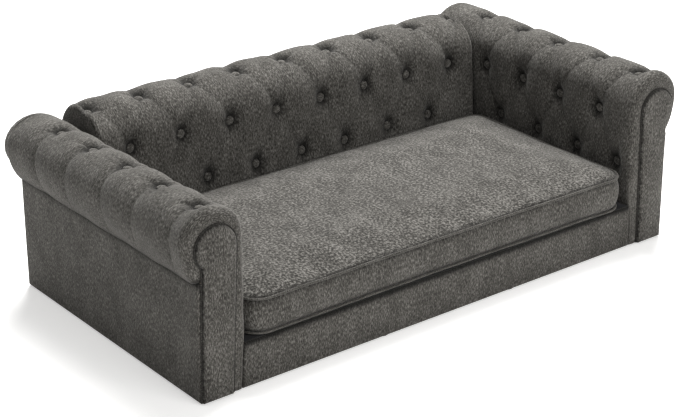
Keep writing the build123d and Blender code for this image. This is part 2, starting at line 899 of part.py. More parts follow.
zip_level = (lower_seam + upper_seam) / 2
zip_face = cushion_rear - band_inset - cushion_band_draw
with BuildPart() as zip_tape:
    extrude(
        *slab(
            (-zip_length / 2, zip_length / 2),
            (zip_face - zip_tape_thickness, zip_face),
            (zip_level - zip_tape_width / 2, zip_level + zip_tape_width / 2),
        )
    )
with BuildPart() as zip_pocket:
    extrude(
        *slab(
            (-zip_length / 2, zip_length / 2),
            (zip_face - zip_tape_thickness, zip_face + cut_overrun),
            (zip_level - zip_tape_width / 2, zip_level + zip_tape_width / 2),
        )
    )
with BuildPart() as cushion_band:
    add(cushion_cover.part)
    split(bisect_by=Plane.XY.offset(upper_seam), keep=Keep.BOTTOM)
    split(bisect_by=Plane.XY.offset(lower_seam), keep=Keep.TOP)
    add(zip_pocket.part, mode=Mode.SUBTRACT)
export(cushion_band, "cushion_band")

for level, name in ((upper_seam, "cushion_top_welt"), (lower_seam, "cushion_bottom_welt")):
    with BuildPart() as welt:
        with BuildLine(Plane.XY.offset(level)) as welt_path:
            cushion_edge(welt_half, seat_gap)
        with BuildSketch(Plane(origin=welt_path.wire() @ 0, z_dir=welt_path.wire() % 0)):
            Circle(welt_half)
        sweep()
    export(welt, name)

with BuildPart() as cushion_zip:
    add(zip_tape.part)
    extrude(
        *slab(
            (-zip_length / 2, zip_length / 2),
            (zip_face, zip_face + zip_coil_height),
            (zip_level - zip_coil_width / 2, zip_level + zip_coil_width / 2),
        )
    )
export(cushion_zip, "cushion_zip")

# Slider: a channel that straddles the coil, with a bail along its back
slider_x = zip_length / 2 - slider_end_inset
slider_face = zip_face + slider_clearance
slot_face = zip_face + zip_coil_height + slider_clearance
slot_half = zip_coil_width / 2 + slider_clearance
slider_back = slot_face + slider_wall
bail_inside = slider_back + pull_thickness + 2 * slider_clearance
slider_ends = (slider_x - slider_length / 2, slider_x + slider_length / 2)
bail_sides = (zip_level - bail_width / 2, zip_level + bail_width / 2)
with BuildPart() as zip_slider:
    extrude(
        *slab(
            slider_ends,
            (slider_face, slider_back),
            (zip_level - slider_width / 2, zip_level + slider_width / 2),
        )
    )
    slot, slot_height = slab(
        (slider_ends[0] - cut_overrun, slider_ends[1] + cut_overrun),
        (slider_face - cut_overrun, slot_face),
        (zip_level - slot_half, zip_level + slot_half),
    )
    extrude(slot, slot_height, mode=Mode.SUBTRACT)
    for post in (slider_ends[0] + slider_wall, slider_ends[1] - 2 * slider_wall):
        extrude(*slab((post, post + slider_wall), (slider_back, bail_inside), bail_sides))
    extrude(
        *slab(
            (slider_ends[0] + slider_wall, slider_ends[1] - slider_wall),
            (bail_inside, bail_inside + slider_wall),
            bail_sides,
        )
    )
export(zip_slider, "zip_slider")

# Pull tab: the rounded bar at its end lies under the bail, and the bail's far post stands in its eye
pull_pivot = (slider_x, (slider_back + bail_inside) / 2)
pull_face = pull_pivot[1] - pull_thickness / 2
pull_start = slider_x - pull_thickness / 2
with BuildPart() as zip_pull:
    with BuildSketch(front_plane(pull_face + pull_thickness)) as pull_outline:
        with Locations((pull_start + pull_length / 2, zip_level)):
            Rectangle(pull_length, pull_width)
        fillet(pull_outline.vertices().group_by(Axis.X)[-1], pull_width / 3)
        with Locations((slider_x + pull_thickness / 2 + pull_eye_length / 2, zip_level)):
            Rectangle(pull_eye_length, pull_width - 2 * slider_wall - slider_clearance, mode=Mode.SUBTRACT)
    extrude(amount=pull_thickness)
    fillet(zip_pull.edges().filter_by(Axis.Z).group_by(Axis.X)[0], pull_thickness * bar_round_share)
export(zip_pull, "zip_pull")
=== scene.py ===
import json
import bpy
import numpy as np
from math import atan2, cos, degrees, pi, radians, sin
from mathutils import Euler, Matrix, Vector


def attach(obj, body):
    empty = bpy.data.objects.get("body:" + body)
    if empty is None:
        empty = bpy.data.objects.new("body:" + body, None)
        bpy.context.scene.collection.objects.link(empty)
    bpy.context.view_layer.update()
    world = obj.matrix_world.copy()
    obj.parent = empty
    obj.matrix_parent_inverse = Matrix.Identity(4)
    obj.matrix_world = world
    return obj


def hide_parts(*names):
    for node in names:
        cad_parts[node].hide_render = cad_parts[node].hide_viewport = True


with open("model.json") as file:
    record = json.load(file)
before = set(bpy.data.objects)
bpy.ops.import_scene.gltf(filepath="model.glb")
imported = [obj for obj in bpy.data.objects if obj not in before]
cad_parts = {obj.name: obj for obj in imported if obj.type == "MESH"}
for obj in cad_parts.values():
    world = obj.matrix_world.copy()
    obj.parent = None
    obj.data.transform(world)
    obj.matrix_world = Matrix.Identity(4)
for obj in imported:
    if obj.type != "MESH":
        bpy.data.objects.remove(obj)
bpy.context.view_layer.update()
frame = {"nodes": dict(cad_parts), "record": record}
random = np.random.default_rng(7)
mm = 0.001

# Camera at the photograph's place, with a long lens. Angles are in degrees.
cameraSetting = {
    "place": (-2.1597, -2.6844, 1.6291), "turn": 38.44, "down": 23.75, "roll": 0.27, "lens": 95.9,
    "sensor": 36.0,
}
cameraData = bpy.data.cameras.new("camera")
cameraData.lens, cameraData.sensor_width = cameraSetting["lens"], cameraSetting["sensor"]
camera = bpy.data.objects.new("camera", cameraData)
camera.location = cameraSetting["place"]
level = Euler((radians(90 - cameraSetting["down"]), 0, -radians(cameraSetting["turn"]))).to_matrix()
camera.rotation_euler = (level @ Matrix.Rotation(radians(cameraSetting["roll"]), 3, "Z")).to_euler()
bpy.context.scene.collection.objects.link(camera)
bpy.context.scene.camera = camera


def addMesh(name, points, faces, material, uvs=None, shade=None):
    # points in millimetres; uvs one pair per point in metres; shade per point is painted shade, 0 open to 1
    # deep in a fold, hollow or seam
    mesh = bpy.data.meshes.new(name)
    mesh.from_pydata((np.asarray(points, float) * mm).tolist(), [], [tuple(int(i) for i in f) for f in faces])
    mesh.update()
    if uvs is not None:
        layer = mesh.uv_layers.new(name="weave")
        index = np.empty(len(mesh.loops), np.int32)
        mesh.loops.foreach_get("vertex_index", index)
        layer.data.foreach_set("uv", np.asarray(uvs, np.float32)[index].ravel())
    if shade is not None:
        # Painted shade: a per-point darkness that the fabric's colour is multiplied down by
        tone = mesh.attributes.new("paintedShade", "FLOAT", "POINT")
        tone.data.foreach_set("value", np.asarray(shade, np.float32))
    mesh.polygons.foreach_set("use_smooth", [True] * len(mesh.polygons))
    mesh.materials.append(material)
    piece = bpy.data.objects.new(name, mesh)
    bpy.context.scene.collection.objects.link(piece)
    return piece


def roundOff(piece):
    # One level of subdivision, in the viewport as in the render
    subdivide = piece.modifiers.new("round", "SUBSURF")
    subdivide.levels = subdivide.render_levels = 1


def gridFaces(rows, columns, closeColumns=False, flip=False):
    # Quads between neighbouring points of a grid; closed, its last column also joins its first
    across = np.arange(columns if closeColumns else columns - 1)
    i, j = np.meshgrid(np.arange(rows - 1), across, indexing="ij")
    k = (j + 1) % columns
    quads = np.stack([i * columns + j, (i + 1) * columns + j, (i + 1) * columns + k, i * columns + k], -1)
    quads = quads.reshape(-1, 4)
    return quads[:, ::-1] if flip else quads


def columns(*values):
    # Puts numbers and arrays of one shape side by side in a last axis
    return np.stack(np.broadcast_arrays(*values), -1)


def unit(vectors):
    # Each vector over its own length
    return vectors / np.linalg.norm(vectors, axis=-1)[..., None]


def quarterTurn(count):
    # Angles from nought to a right angle, in radians
    return np.radians(np.linspace(0, 90, count))


def arcPoints(centre, radius, start, end, count=60):
    # An arc between two angles in degrees: centre plus radius times cosine and sine
    angles = np.radians(np.linspace(start, end, count))
    return np.c_[centre[0] + radius * np.cos(angles), centre[1] + radius * np.sin(angles)]


def runLength(points):
    # How far along a polyline each of its points is: the running sum of its steps
    return np.r_[0, np.cumsum(np.linalg.norm(np.diff(points, axis=0), axis=1))]


def pointsAt(distance, lengths, points):
    # What two columns of values are at given distances, straight between the points
    return np.stack([np.interp(distance, lengths, points[:, k]) for k in (0, 1)], -1)


def smoothLine(points, step=1.0, spread=5.0):
    # Resamples a polyline at even steps and rounds its corners by a Gaussian average; the ends stay in place
    points = np.asarray(points, float)
    lengths = runLength(points)
    line = pointsAt(np.linspace(0, lengths[-1], max(8, int(lengths[-1] / step))), lengths, points)
    if spread:
        reach = int(3 * spread / step)
        weights = np.exp(-0.5 * (np.arange(-reach, reach + 1) * step / spread) ** 2)
        weights /= weights.sum()
        before = line[0] * 2 - line[1:reach + 1][::-1]
        after = line[-1] * 2 - line[-reach - 1:-1][::-1]
        extended = np.vstack([before, line, after])
        line = np.stack([np.convolve(extended[:, k], weights, "valid") for k in (0, 1)], -1)
    lengths = runLength(line)
    heading = unit(np.gradient(line, lengths, axis=0))
    # The padding lies to the right of the line, so the outward normal is to its left
    normal = np.c_[-heading[:, 1], heading[:, 0]]
    return {"length": lengths, "point": line, "normal": normal, "total": lengths[-1]}


def along(line, v):
    # A smooth line's points and outward normals at the distances v
    return pointsAt(v, line["length"], line["point"]), unit(pointsAt(v, line["length"], line["normal"]))


def crestLine(size):
    # Up the inner face in two straight runs, over the roll by half a circle, and down to the seam by the
    # arc that leaves the circle straight down
    centre, radius, seam = size["centre"], size["radius"], size["seam"]
    outer = centre[0] + radius
    gap = outer - seam[0]
    reach = (gap ** 2 + (centre[1] - seam[1]) ** 2) / (2 * gap)
    turn = degrees(atan2(centre[1] - seam[1], seam[0] - (outer - reach)))
    roll = arcPoints(centre, radius, 180, 0)
    drop = arcPoints((outer - reach, centre[1]), reach, 0, -turn)
    return smoothLine(np.vstack([size["foot"], size["low"], roll, drop[1:]]))


def lumps(u, v, scale, seed):
    # Slow unevenness of stuffing: a few crossed waves of random heading, about -1 to 1
    rng = np.random.default_rng(seed)
    total = 0
    for _ in range(7):
        angle, phase, stretch = rng.uniform(0, 2 * pi), rng.uniform(0, 2 * pi), rng.uniform(0.6, 1.6)
        total = total + np.sin((u * cos(angle) + v * sin(angle)) * stretch * 2 * pi / scale + phase)
    return total / 3.2


print("helpers ready")

# Scales are in waves per metre of cloth. The shares are of slub, fine, streak, weave and cloud in the tone, and
# of slub, fine and weave in the height.
# foldShade is how far the painted shade darkens the colour at its deepest
fabric = {
    "dark": (0.0135, 0.0125, 0.0108), "middle": (0.060, 0.0565, 0.0505), "light": (0.185, 0.177, 0.163),
    "low": 0.365, "high": 0.645, "across": 470.0, "along": 150.0, "fineAcross": 1250.0, "fineAlong": 600.0,
    "streakAcross": 165.0, "streakAlong": 26.0, "cloudAcross": 22.0, "cloudAlong": 13.0, "yarn": 560.0,
    "warpYarn": 448.0, "bump": 0.0011, "foldShade": 0.82, "toneShares": (0.62, 0.24, 0.14, 0.015, 0.12),
    "heightShares": (0.9, 0.6, 0.16),
}


def setInput(node, name, value):
    node.inputs[name].default_value = value


def newMaterial(name):
    material = bpy.data.materials.new(name)
    material.use_nodes = True
    nodes, links = material.node_tree.nodes, material.node_tree.links
    return material, nodes, links, nodes["Principled BSDF"]


def makeChenille():
    # Heathered chenille: short slubs along the warp over a fine weave. Vector is in metres on the cloth.
    group = bpy.data.node_groups.new("chenille", "ShaderNodeTree")
    group.interface.new_socket("Vector", in_out="INPUT", socket_type="NodeSocketVector")
    for socket in ("Across", "Along", "Gain", "PaintedShade"):
        group.interface.new_socket(socket, in_out="INPUT", socket_type="NodeSocketFloat")
    group.interface.new_socket("Color", in_out="OUTPUT", socket_type="NodeSocketColor")
    group.interface.new_socket("Height", in_out="OUTPUT", socket_type="NodeSocketFloat")
    nodes, links = group.nodes, group.links
    enter, leave = nodes.new("NodeGroupInput"), nodes.new("NodeGroupOutput")
    split = nodes.new("ShaderNodeSeparateXYZ")
    links.new(enter.outputs["Vector"], split.inputs[0])

    def maths(operation, a, b=None):
        node = nodes.new("ShaderNodeMath")
        node.operation = operation
        for socket, value in zip(node.inputs, (a, b)):
            if isinstance(value, (int, float)):
                socket.default_value = value
            elif value is not None:
                links.new(value, socket)
        return node.outputs[0]

    def noise(across, lengthwise, detail, rough):
        join = nodes.new("ShaderNodeCombineXYZ")
        links.new(maths("MULTIPLY", split.outputs["X"], across), join.inputs["X"])
        links.new(maths("MULTIPLY", split.outputs["Y"], lengthwise), join.inputs["Y"])
        links.new(maths("MULTIPLY", split.outputs["Z"], across), join.inputs["Z"])
        texture = nodes.new("ShaderNodeTexNoise")
        setInput(texture, "Scale", 1.0)
        setInput(texture, "Detail", detail)
        setInput(texture, "Roughness", rough)
        links.new(join.outputs[0], texture.inputs["Vector"])
        return texture.outputs["Fac"]

    slub = noise(enter.outputs["Across"], enter.outputs["Along"], 2.0, 0.6)
    fine = noise(fabric["fineAcross"], fabric["fineAlong"], 2.0, 0.7)
    streak = noise(fabric["streakAcross"], fabric["streakAlong"], 2.0, 0.5)
    cloud = maths("SUBTRACT", noise(fabric["cloudAcross"], fabric["cloudAlong"], 2.0, 0.5), 0.5)
    # Yarns cross each other: the product of two sine waves gives the basket of the weave
    weft = maths("SINE", maths("MULTIPLY", split.outputs["X"], fabric["yarn"] * 2 * pi))
    warp = maths("SINE", maths("MULTIPLY", split.outputs["Y"], fabric["warpYarn"] * 2 * pi))
    weave = maths("MULTIPLY", weft, warp)

    def mixed(shares, *layers):
        # The sum of the layers, each times its share
        total = maths("MULTIPLY", layers[0], shares[0])
        for layer, share in zip(layers[1:], shares[1:]):
            total = maths("ADD", total, maths("MULTIPLY", layer, share))
        return total

    tone = mixed(fabric["toneShares"], slub, fine, streak, weave, cloud)
    tone = maths("ADD", maths("MULTIPLY", maths("SUBTRACT", tone, 0.5), enter.outputs["Gain"]), 0.5)
    ramp = nodes.new("ShaderNodeValToRGB")
    ramp.color_ramp.elements[0].position, ramp.color_ramp.elements[1].position = fabric["low"], fabric["high"]
    ramp.color_ramp.elements[0].color = (*fabric["dark"], 1)
    ramp.color_ramp.elements[1].color = (*fabric["light"], 1)
    centre = ramp.color_ramp.elements.new((fabric["low"] + fabric["high"]) / 2)
    centre.color = (*fabric["middle"], 1)
    links.new(tone, ramp.inputs[0])
    darken = nodes.new("ShaderNodeVectorMath")
    darken.operation = "SCALE"
    links.new(ramp.outputs["Color"], darken.inputs[0])
    # Painted shade: the colour is darkened by the per-point shade attribute, times foldShade
    shade = maths("MULTIPLY", enter.outputs["PaintedShade"], fabric["foldShade"])
    links.new(maths("SUBTRACT", 1.0, shade), darken.inputs["Scale"])
    links.new(darken.outputs[0], leave.inputs["Color"])
    links.new(mixed(fabric["heightShares"], slub, fine, weave), leave.inputs["Height"])
    return group


chenille = makeChenille()


def fabricMaterial(name, across=fabric["across"], lengthwise=fabric["along"], gain=1.0, tint=1.0, sheen=0.3):
    # Chenille on the piece's cloth coordinates: its colour times tint, its height as bump, a soft sheen
    # over it
    material, nodes, links, shader = newMaterial(name)
    setInput(shader, "Roughness", 0.93)
    setInput(shader, "Specular IOR Level", 0.12)
    setInput(shader, "Sheen Weight", sheen)
    setInput(shader, "Sheen Roughness", 0.4)
    setInput(shader, "Sheen Tint", (0.88, 0.86, 0.82, 1))
    coordinates = nodes.new("ShaderNodeTexCoord")
    cloth = nodes.new("ShaderNodeGroup")
    cloth.node_tree = chenille
    setInput(cloth, "Across", across)
    setInput(cloth, "Along", lengthwise)
    setInput(cloth, "Gain", gain)
    links.new(coordinates.outputs["UV"], cloth.inputs["Vector"])
    # Painted shade from the piece's per-point shade attribute darkens the colour
    paintedShade = nodes.new("ShaderNodeAttribute")
    paintedShade.attribute_name = "paintedShade"
    links.new(paintedShade.outputs["Fac"], cloth.inputs["PaintedShade"])
    toned = nodes.new("ShaderNodeVectorMath")
    toned.operation = "SCALE"
    toned.inputs["Scale"].default_value = tint
    links.new(cloth.outputs["Color"], toned.inputs[0])
    links.new(toned.outputs[0], shader.inputs["Base Color"])
    bump = nodes.new("ShaderNodeBump")
    setInput(bump, "Strength", 0.6)
    setInput(bump, "Distance", fabric["bump"])
    links.new(cloth.outputs["Height"], bump.inputs["Height"])
    links.new(bump.outputs[0], shader.inputs["Normal"])
    return material


# The copies differ in tint as painted light: the cover and the cushion's band are made lighter than the seat
# top and the piping
coverFabric = fabricMaterial("coverFabric", tint=1.09)
seatFabric = fabricMaterial("seatFabric", 215.0, 200.0, gain=1.55, tint=0.98)
bandFabric = fabricMaterial("bandFabric", tint=1.05)
pipingFabric = fabricMaterial("pipingFabric", 450.0, 450.0, tint=0.98)
# A darkened copy of the chenille with little sheen for the facing welts: painted shade standing for the shadow
# gap round the facing
paintedShadeWeltFabric = fabricMaterial("paintedShadeWeltFabric", 450.0, 450.0, tint=0.5, sheen=0.05)


def grainMaterial(name, dark, light, scale, roughness, bump=0.0004, metallic=0.0):
    # A plain material whose tone and surface vary a little, on the object's own coordinates
    material, nodes, links, shader = newMaterial(name)
    setInput(shader, "Roughness", roughness)
    setInput(shader, "Metallic", metallic)
    coordinates = nodes.new("ShaderNodeTexCoord")
    mapping = nodes.new("ShaderNodeMapping")
    mapping.inputs["Scale"].default_value = scale
    texture = nodes.new("ShaderNodeTexNoise")
    setInput(texture, "Scale", 1.0)
    setInput(texture, "Detail", 5.0)
    ramp = nodes.new("ShaderNodeValToRGB")
    ramp.color_ramp.elements[0].position, ramp.color_ramp.elements[1].position = 0.3, 0.7
    ramp.color_ramp.elements[0].color, ramp.color_ramp.elements[1].color = (*dark, 1), (*light, 1)
    relief = nodes.new("ShaderNodeBump")
    setInput(relief, "Strength", 0.5)
    setInput(relief, "Distance", bump)
    links.new(coordinates.outputs["Object"], mapping.inputs["Vector"])
    links.new(mapping.outputs[0], texture.inputs["Vector"])
    links.new(texture.outputs["Fac"], ramp.inputs[0])
    links.new(ramp.outputs["Color"], shader.inputs["Base Color"])
    links.new(texture.outputs["Fac"], relief.inputs["Height"])
    links.new(relief.outputs[0], shader.inputs["Normal"])
    return material


plywood = grainMaterial("plywood", (0.42, 0.29, 0.16), (0.66, 0.50, 0.32), (12, 160, 160), 0.75)
hardboard = grainMaterial("hardboard", (0.15, 0.085, 0.045), (0.27, 0.17, 0.10), (300, 300, 300), 0.8)
lining = grainMaterial("lining", (0.010, 0.010, 0.011), (0.030, 0.030, 0.032), (700, 700, 700), 0.95)
steel = grainMaterial("steel", (0.42, 0.42, 0.43), (0.62, 0.62, 0.63), (400, 400, 400), 0.38, 0.0001, 1.0)
blackMetal = grainMaterial(
    "blackMetal", (0.012, 0.012, 0.012), (0.03, 0.03, 0.03), (500, 500, 500), 0.35, 0.0001,
)
zipTape = grainMaterial("zipTape", (0.014, 0.014, 0.014), (0.045, 0.044, 0.042), (900, 900, 900), 0.9)
nylon = grainMaterial("nylon", (0.012, 0.012, 0.012), (0.028, 0.028, 0.028), (600, 600, 600), 0.55, 0.0002)
slotLooks = {
    "plywood": plywood, "hardboard": hardboard, "lining": lining, "steel": steel, "zip_metal": blackMetal,
    "zip_tape": zipTape, "feet": nylon, "padding": hardboard, "foam": lining,
}
slotOf = {part["node"]: part["material_slot"] for part in frame["record"]["subparts"]}
for node, piece in frame["nodes"].items():
    look = slotLooks.get(slotOf[node])
    if look:
        piece.data.materials.clear()
        piece.data.materials.append(look)
print("materials ready")

# Depths and distances in mm. start is a fold's depth at a button; the hollow's radii are sideways, up and
# down.
tuft = {
    "button": 15.0, "crownExtra": 3, "uneven": 1.4, "start": 10.5, "face": 4.0, "roll": 3.5, "skirt": 1.2,
    "valley": 22.0, "crease": 4.0, "valleyShare": 0.66, "hollow": (13.5, 23.0, 15.0), "seat": 0.42,
    "pleat": 0.2,
}
# The pad between the buttons: the step of its grid, its lumps, and the depths over which painted shade darkens
# its folds
padding = {"step": 2.6, "lump": 0.9, "lumpScale": 105.0, "below": 0.5, "shadeFrom": 2.6, "shadeOver": 11.0}


def tuftPlan(size, line, low, middle, crown, seed):
    # Buttons as (u, v, depth) in three rows, and the folds between them, a little uneven as hand work is
    rng = np.random.default_rng(seed)
    first, pitch, crownCount, uneven = size["first"], size["pitch"], size["columns"], tuft["uneven"]

    def row(count, shift, v, extra):
        return [
            (
                first + pitch * (i + shift) + rng.normal(0, uneven), v + rng.normal(0, uneven),
                tuft["button"] + extra + rng.normal(0, 1.0),
            )
            for i in range(count)
        ]

    lowRow = row(size["lowCount"], size["lowShift"], low, 0)
    rows = [lowRow, row(crownCount - 1, 0.5, middle, 0), row(crownCount, 0.0, crown, tuft["crownExtra"])]
    folds = []
    start = tuft["start"]
    for a in rows[1]:
        for b in rows[0] + rows[2]:
            if abs(abs(a[0] - b[0]) - pitch / 2) < 9:
                folds.append((*a[:2], *b[:2], start, tuft["face"] * rng.uniform(0.8, 1.2), start))
    for a in rows[0]:
        folds.append((*a[:2], a[0] + rng.normal(0, 2), size["seat"], start * 0.8, tuft["skirt"], 0.4))
    for a in rows[2]:
        rolled = (a[0] + rng.normal(0, 5), line["total"], start, tuft["roll"] * rng.uniform(0.7, 1.3), 0.6)
        folds.append((*a[:2], *rolled))
    return rows[0] + rows[1] + rows[2], folds


def tuftDepth(u, v, plan):
    # Depth under the crest surface; u runs along the pad and v up its inner face and over the roll, both in
    # mm. A fold is a wide valley with a sharp crease in it, and a button's hollow is a steep bell. All are
    # summed as fourth powers, and the sum's fourth root is the depth, so that the deepest one wins.
    buttons, folds = plan
    total = np.zeros_like(u)
    for u0, v0, u1, v1, start, middle, end in folds:
        du, dv = u1 - u0, v1 - v0
        t = np.clip(((u - u0) * du + (v - v0) * dv) / (du * du + dv * dv), 0, 1)
        across = np.hypot(u - u0 - t * du, v - v0 - t * dv)
        near, far = np.clip(1 - 2 * t, 0, 1) ** 2.2, np.clip(2 * t - 1, 0, 1) ** 2.2
        deep = middle + (start - middle) * near + (end - middle) * far
        valley = tuft["valleyShare"] * np.exp(-((across / tuft["valley"]) ** 2))
        crease = (1 - tuft["valleyShare"]) * np.exp(-((across / tuft["crease"]) ** 1.3))
        total += (deep * (valley + crease)) ** 4
    sideways, upwards, downwards = tuft["hollow"]
    for u0, v0, deep in buttons:
        # The hollow reaches further up than down, so its upper side lies in shade
        rise = v - v0
        r = np.hypot((u - u0) / sideways, rise / np.where(rise > 0, upwards, downwards))
        # Small pleats radiate from each button, uneven in strength and heading
        heading = np.arctan2(rise, u - u0)
        pleat = 0.6 * np.cos(5 * heading + u0) + 0.4 * np.cos(8 * heading + v0 + 0.7 * u0)
        spread = 1 + tuft["pleat"] * pleat * np.clip(r - 0.6, 0, 1)
        total += (deep * np.exp(-(np.clip(r * spread - tuft["seat"], 0, None) ** 1.35))) ** 4
    return total ** 0.25


def tightened(position, inset, v, size):
    # Towards the foot the cloth turns round the front board more tightly than over the roll: on the nose its
    # distances shrink by one share, and beyond the nose they run evenly back to what they were
    front, nose, ease, turnIn = size["front"], size["nose"], size["ease"], size["turnIn"]
    tightFrom, tightOver, footShare = size["tightFrom"], size["tightOver"], size["footShare"]
    tight = footShare + (1 - footShare) * np.clip((v - tightFrom) / tightOver, 0, 1)
    ahead = position - front
    eased = nose * tight + (ahead - nose) * (ease + nose * (1 - tight)) / ease
    eased = np.where(ahead <= nose, ahead * tight, eased)
    eased = np.where(ahead < nose + ease, eased, ahead)
    drawn = nose * tight + (inset - nose) * (turnIn - nose * tight) / (turnIn - nose)
    drawn = np.where(inset <= nose, inset * tight, drawn)
    return front + eased, np.where(ahead < nose + 1, drawn, inset)


def padSurface(name, line, plan, stations, place, seed, flip, closing, size=None):
    # A point is the crest line's point at v, less its normal times the tufting's depth and the station's
    # inset. stations: (u, position along the pad, inset from the crest line, share of the tufting).
    # closing: where the cloth turns in under the foot and behind the seam, as (across, level).
    u1, position, inset, fade = np.asarray(stations, float).T
    v1 = np.linspace(0, line["total"], round(line["total"] / padding["step"]))
    u, v = np.meshgrid(u1, v1, indexing="ij")
    depth = tuftDepth(u, v, plan) * fade[:, None]
    lump = padding["lump"] * lumps(u, v, padding["lumpScale"], seed)
    depth = depth + lump * np.clip(1 - depth / 8, 0, 1) * (inset[:, None] < 6) + padding["below"]
    position, inset = np.broadcast_arrays(position[:, None], inset[:, None], v)[:2]
    if size:
        position, inset = tightened(position, inset, v, size)
    point, normal = along(line, v)
    profile = point - normal * (depth + inset)[..., None]
    first, last = (np.broadcast_to(np.array(c, float), (len(u1), 1, 2)) for c in closing)
    profile = np.concatenate([first, profile, last], 1)

    def withClosing(values):
        return np.pad(values, ((0, 0), (1, 1)), mode="edge")

    points = place(withClosing(position), profile[..., 0], profile[..., 1]).reshape(-1, 3)
    # Painted shade: darker with the tufting's depth in folds and hollows, and a painted shadow line along the
    # seam under the roll
    paintedTuftShade = np.clip((depth - padding["shadeFrom"]) / padding["shadeOver"], 0, 1) ** 1.2
    paintedShade = withClosing(np.maximum(paintedTuftShade, np.exp(-((line["total"] - v) / 6.0) ** 1.5)))
    uvs = columns(withClosing(u), withClosing(v)).reshape(-1, 2) * mm
    return addMesh(name, points, gridFaces(*profile.shape[:2], flip=flip), coverFabric, uvs, paintedShade.ravel())


def lathe(profile, count=28):
    # Turns (radius, height) pairs, from the rim to the last one on the axis, about z: a point is radius times
    # cosine and sine of its angle, at the pair's height. A fan of triangles closes the middle.
    radius, height = np.array(profile[:-1], float).T[..., None]
    angle = 2 * pi * np.arange(count) / count
    turned = columns(radius * np.cos(angle), radius * np.sin(angle), height).reshape(-1, 3)
    rim = len(turned) - count + np.arange(count)
    fan = columns(rim, np.roll(rim, -1), len(turned))
    faces = gridFaces(len(radius), count, True, True).tolist() + fan.tolist()
    return np.vstack([turned, (0, 0, profile[-1][1])]), faces


# sink is how far the button's base lies under the bottom of its hollow, and shade is the strength of the
# painted shade at its foot
button = {
    "profile": ((5.5, -2.5), (8.4, -0.6), (9.45, 1.2), (9.5, 2.4), (8.9, 3.7), (7.2, 4.9),
                (4.6, 5.7), (2.2, 6.0), (0, 6.05)),
    "sink": 0.4, "lean": 0.06, "shade": 0.8,
}


def addButtons(name, line, plan, place, node):
    # Covered buttons at the bottom of their hollows. Each leans and turns a little, as sewn ones do: its
    # points are its seat plus the lathed shape's x, y and z along its own three axes.
    base, faces = lathe(button["profile"])
    u, v, deep = np.array(plan[0], float).T
    draws = [(random.normal(0, button["lean"], 3), random.uniform(0, 2 * pi)) for _ in plan[0]]
    lean, turn = (np.array(values) for values in zip(*draws))
    spot, outward = along(line, v)
    sunk = spot - outward * (deep + button["sink"])[:, None]
    seat = place(u, sunk[:, 0], sunk[:, 1])
    normal = unit(place(u * 0, outward[:, 0], outward[:, 1]) + lean)
    sideways = unit(np.cross(normal, (0.31, 0.87, 0.4)))
    upwards = np.cross(normal, sideways)
    c, s = np.cos(turn)[:, None], np.sin(turn)[:, None]
    axes = np.stack([sideways * c + upwards * s, upwards * c - sideways * s, normal], 1)
    points = seat[:, None] + base @ axes
    uvs = (base[:, :2] + seat[:, None, [0, 2]]) * mm
    # Painted shade round the button's foot, where it sinks into its hollow
    shade = np.tile(np.clip(1 - (base[:, 2] + 0.5) / 3.0, 0, 1) * button["shade"], len(u))
    allFaces = [[k * len(base) + i for i in face] for k in range(len(u)) for face in faces]
    piece = addMesh(name, points.reshape(-1, 3), allFaces, coverFabric, uvs.reshape(-1, 2), shade)
    roundOff(piece)
    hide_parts(node)
    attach(piece, "frame")


# Places are (x, z) of the right arm. sag is the roll's fall at its front and at its rear, for the right
# side (1) and the left one (-1). The tight values are where the cloth tightens round the front board.
arm = {
    "foot": (505.2, 3.0), "low": (493.0, 185.0), "centre": (559.5, 317.0), "radius": 66.0,
    "seam": (602.0, 240.5), "closing": ((517.0, 3.0), (585.0, 239.0)), "front": -320.4, "rear": 298.0,
    "tail": 329.0, "nose": 16.0, "turnIn": 47.0, "ease": 40.0, "footShare": 0.34, "tightFrom": 95.0,
    "tightOver": 90.0, "fadeFront": 22.0, "fadeRear": 30.0, "rearInsets": (4.0, 12.0, 27.0),
    "sag": {1: (3.0, 2.0), -1: (8.0, 17.0)}, "sagFrom": 215.0, "sagOver": 165.0, "endFall": 8.0,
    "endReach": 26.0, "first": -270.0, "pitch": 117.5, "columns": 5, "lowCount": 4, "lowShift": 0.0,
    "seat": 84.0, "lowRow": -2.0, "middleRow": 99.0, "crownRow": -6.0,
}
armLine = crestLine(arm)
armLow = np.linalg.norm(np.subtract(arm["low"], arm["foot"]))
armCrown = armLow + arm["centre"][1] - arm["low"][1] + arm["radius"] * pi / 2


def sagged(side, position, level):
    # The roll settles under its own softness: its fall runs evenly from front to rear, grows as an
    # exponential towards the tail, and fades out below the roll
    front, rear = arm["sag"][side]
    share = np.clip((position - arm["front"]) / (arm["rear"] - arm["front"]), 0, 1.05)
    fall = arm["endFall"] * np.exp(-(arm["tail"] - np.minimum(position, arm["tail"])) / arm["endReach"])
    soft = np.clip((level - arm["sagFrom"]) / arm["sagOver"], 0, 1)
    return level - (front + (rear - front) * share + fall) * soft


def armStations():
    # On the front face, round the nose by a quarter circle, along the arm to its rear and in to close the
    # end. u is the length of cloth: the arc's own length round the nose.
    front, nose, rear = arm["front"], arm["nose"], arm["rear"]
    start = front + nose * (1 - pi / 2)
    inset = np.linspace(arm["turnIn"], nose, 12, endpoint=False)
    turn = quarterTurn(10)
    y = np.linspace(front + nose, rear, 236)[1:]
    fade = np.clip((y - front - nose) / arm["fadeFront"], 0, 1)
    fade = fade * np.clip((rear - y) / arm["fadeRear"], 0.15, 1)
    closing = np.array(arm["rearInsets"])
    return np.vstack([
        columns(start + nose - inset, front, inset, 0),
        columns(start + nose * turn, front + nose * (1 - np.cos(turn)), nose * (1 - np.sin(turn)), 0),
        columns(y, y, 0, fade),
        columns(rear + closing, rear, closing, 0),
    ])


